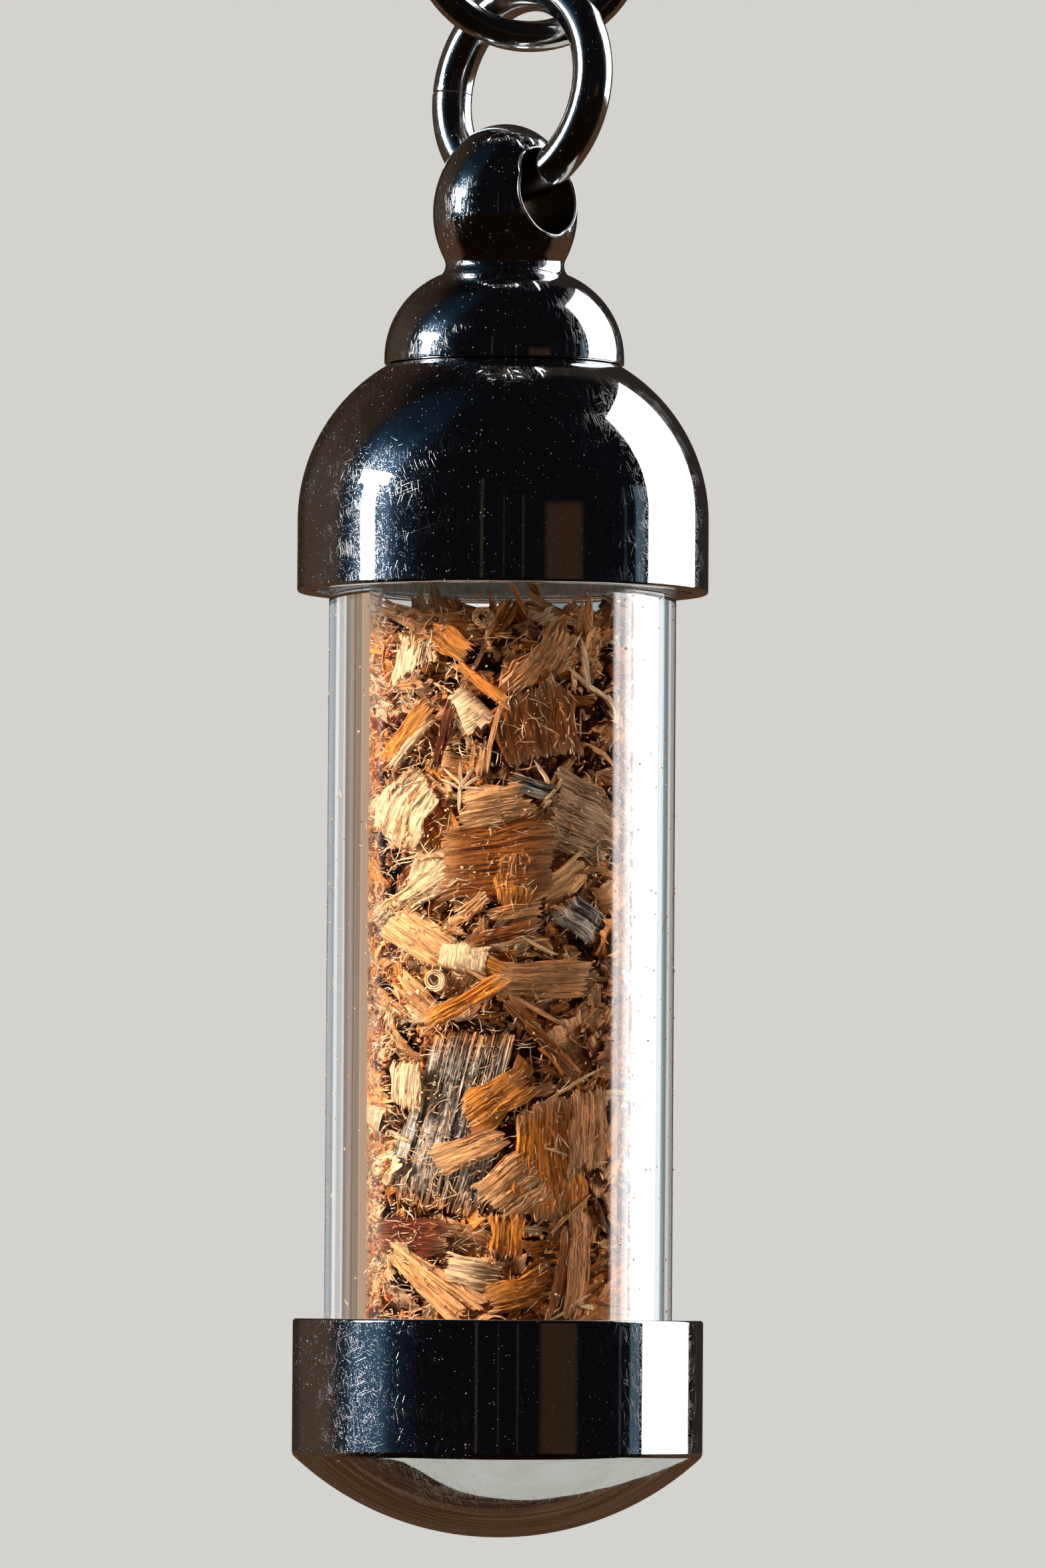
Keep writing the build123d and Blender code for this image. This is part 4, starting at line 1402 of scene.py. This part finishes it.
# What shows through the walls of the tube, at its two edges
ROOM_SEEN_BY_GLASS = (
    (-105, 97, -90, 90, 4, DARK_ROOM),
    (97, 105, -12, 24, 1.5, (7.0, 6.8, 6.6)),
    (104, 118, -12, 24, 2, (4.2, 4.2, 4.2)),
    (117, 151, -12, 24, 2, (1.6, 1.6, 1.6)),
    (150, 157, -12, 20, 1, (0.88, 0.91, 0.93)),
    (157, 165, -12, 20, 1, (0.56, 0.63, 0.65)),
    (165, 172, -12, 20, 1, (0.34, 0.42, 0.45)),
    (172, 200, -12, 20, 1, (0.20, 0.27, 0.29)),
    (-200, -172, -12, 20, 1, (0.95, 0.95, 0.93)),
    (-172, -162, -12, 20, 1, (0.62, 0.60, 0.57)),
    (-162, -157, -12, 20, 1, (0.80, 0.78, 0.78)),
    (-157, -148, -12, 20, 0.7, (0.31, 0.235, 0.19)),
    (-148, -143.5, -12, 20, 0.7, (0.38, 0.28, 0.21)),
    (-143.5, -139, -12, 20, 0.7, (0.23, 0.15, 0.10)),
    (-139, -131, -12, 20, 1, (0.28, 0.205, 0.14)),
    (-131, -112, -12, 20, 2, (0.52, 0.35, 0.23)),
)


def span(tree, value, low, high, soft):
    """1 between two values and 0 outside them, with soft edges."""
    above = ramp(tree, value, low - soft, low + soft)
    below = ramp(tree, value, high - soft, high + soft, 1, 0)
    return product(tree, above, below)


def surroundings(tree, base, patches):
    """A room painted by direction: each patch covers the ones before it."""
    way = node(tree, "SeparateXYZ", {0: node(tree, "TexCoord").outputs["Generated"]})
    backwards = product(tree, way.outputs["Y"], -1.0)
    azimuth = product(tree, maths(tree, "ARCTAN2", way.outputs["X"], backwards), degrees(1))
    elevation = product(tree, maths(tree, "ARCSINE", way.outputs["Z"]), degrees(1))
    colour = (*base, 1)
    for start, end, low, high, soft, paint in patches:
        round_it, up_it = span(tree, azimuth, start, end, soft), span(tree, elevation, low, high, soft * 1.5)
        cover = product(tree, round_it, up_it)
        colour = mix(tree, cover, colour, (*paint, 1))
    return colour


def add_floor():
    level = (drop - FLOOR_BELOW) * MM
    floor = disc_mesh("floor", level, (0.05, 0.15, 0.4, 1.0, 3.0, 8.0))
    material, tree, shader, output = new_material("floor")
    set_inputs(tree, shader, base_color=FLOOR_COLOUR, roughness=0.9, specular_ior_level=0.0)
    place = node(tree, "TexCoord").outputs["Object"]
    away = node(tree, "VectorMath", {0: place}, operation="LENGTH").outputs["Value"]
    far = ramp(tree, away, 0.05, 0.24)
    flat = node(tree, "Emission", {"Color": (*BACKGROUND, 1)})
    both = node(tree, "MixShader", {0: far, 1: shader.outputs[0], 2: flat.outputs[0]})
    tree.links.new(both.outputs[0], output.inputs["Surface"])
    floor.data.materials.append(material)
    floor.visible_glossy = False


def add_table():
    """What the chrome sees below it: a dark wooden table with a pale paper on it."""
    depth = (FLOOR_BELOW - 1) * MM
    level = drop * MM - depth
    table = disc_mesh("table", level, (0.01, 0.05, 0.2, 0.6, 2.0))
    material = flat_card("table", (0.05, 0.03, 0.02))
    tree = material.node_tree
    place = node(tree, "TexCoord").outputs["Object"]
    streaks = noise(tree, stretched(tree, place, (30, 300, 1)), 1.0, 6, 0.65)
    colour = mix(tree, ramp(tree, streaks, 0.4, 0.66), (0.045, 0.022, 0.011, 1), (0.13, 0.068, 0.034, 1))
    behind = ramp(tree, node(tree, "SeparateXYZ", {0: place}).outputs["Y"], -0.01, 0.03, 0.06, 1)
    colour = shaded(tree, colour, behind)
    tree.links.new(colour, tree.nodes["Emission"].inputs["Color"])
    table.data.materials.append(material)
    only_chrome_sees(table)
    verts = [(x * depth, y * depth, level + 0.5 * MM) for x, y in PAPER_CORNERS]
    paper = new_mesh_piece("paper", verts, [list(range(len(verts)))])
    material = flat_card("paper", (0.54, 0.54, 0.47))
    tree = material.node_tree
    fibres = noise(tree, in_millimetres(tree), 0.12, 4, 0.6)
    colour = mix(tree, ramp(tree, fibres, 0.35, 0.65), (0.50, 0.50, 0.44, 1), (0.57, 0.575, 0.515, 1))
    tree.links.new(colour, tree.nodes["Emission"].inputs["Color"])
    paper.data.materials.append(material)
    only_chrome_sees(paper)


def add_world():
    world = bpy.data.worlds.new("studio")
    bpy.context.scene.world = world
    world.use_nodes = True
    tree = world.node_tree
    tree.nodes.clear()
    path = node(tree, "LightPath")
    colour = mix(tree, path.outputs["Is Camera Ray"], (*WORLD_FILL, 1), (*BACKGROUND, 1))
    seen_by_glass = surroundings(tree, BACKGROUND, ROOM_SEEN_BY_GLASS)
    seen_by_chrome = surroundings(tree, DARK_ROOM, ROOM_SEEN_BY_CHROME)
    colour = mix(tree, path.outputs["Is Glossy Ray"], colour, seen_by_chrome)
    colour = mix(tree, path.outputs["Is Transmission Ray"], colour, seen_by_glass)
    sky = node(tree, "Background", {"Color": colour, "Strength": 1.0})
    node(tree, "OutputWorld", {"Surface": sky.outputs[0]})


def add_stage():
    add_world()
    add_floor()
    add_table()
    lamp("window", 115, 16, 0.80, 0.70, 1.04, 2.8, (0.97, 0.99, 1.0), roll=-12, through=False)
    lamp("lamp_body", -81.5, 11.1, 0.60, 0.105, 0.142, 17, (1.0, 0.98, 0.95))
    lamp("lamp_head", -80.5, 20.6, 0.60, 0.22, 0.065, 17, (1.0, 0.98, 0.95))
    lamp("side_fill", -75, 28, 0.70, 0.26, 0.26, 92, (1.0, 0.95, 0.88), glossy=False)
    lamp("right_fill", 98, 14, 0.80, 0.30, 0.40, 14, (1.0, 0.97, 0.94), glossy=False)


add_camera()
add_stage()
scene = bpy.context.scene
scene.view_settings.view_transform = "Standard"
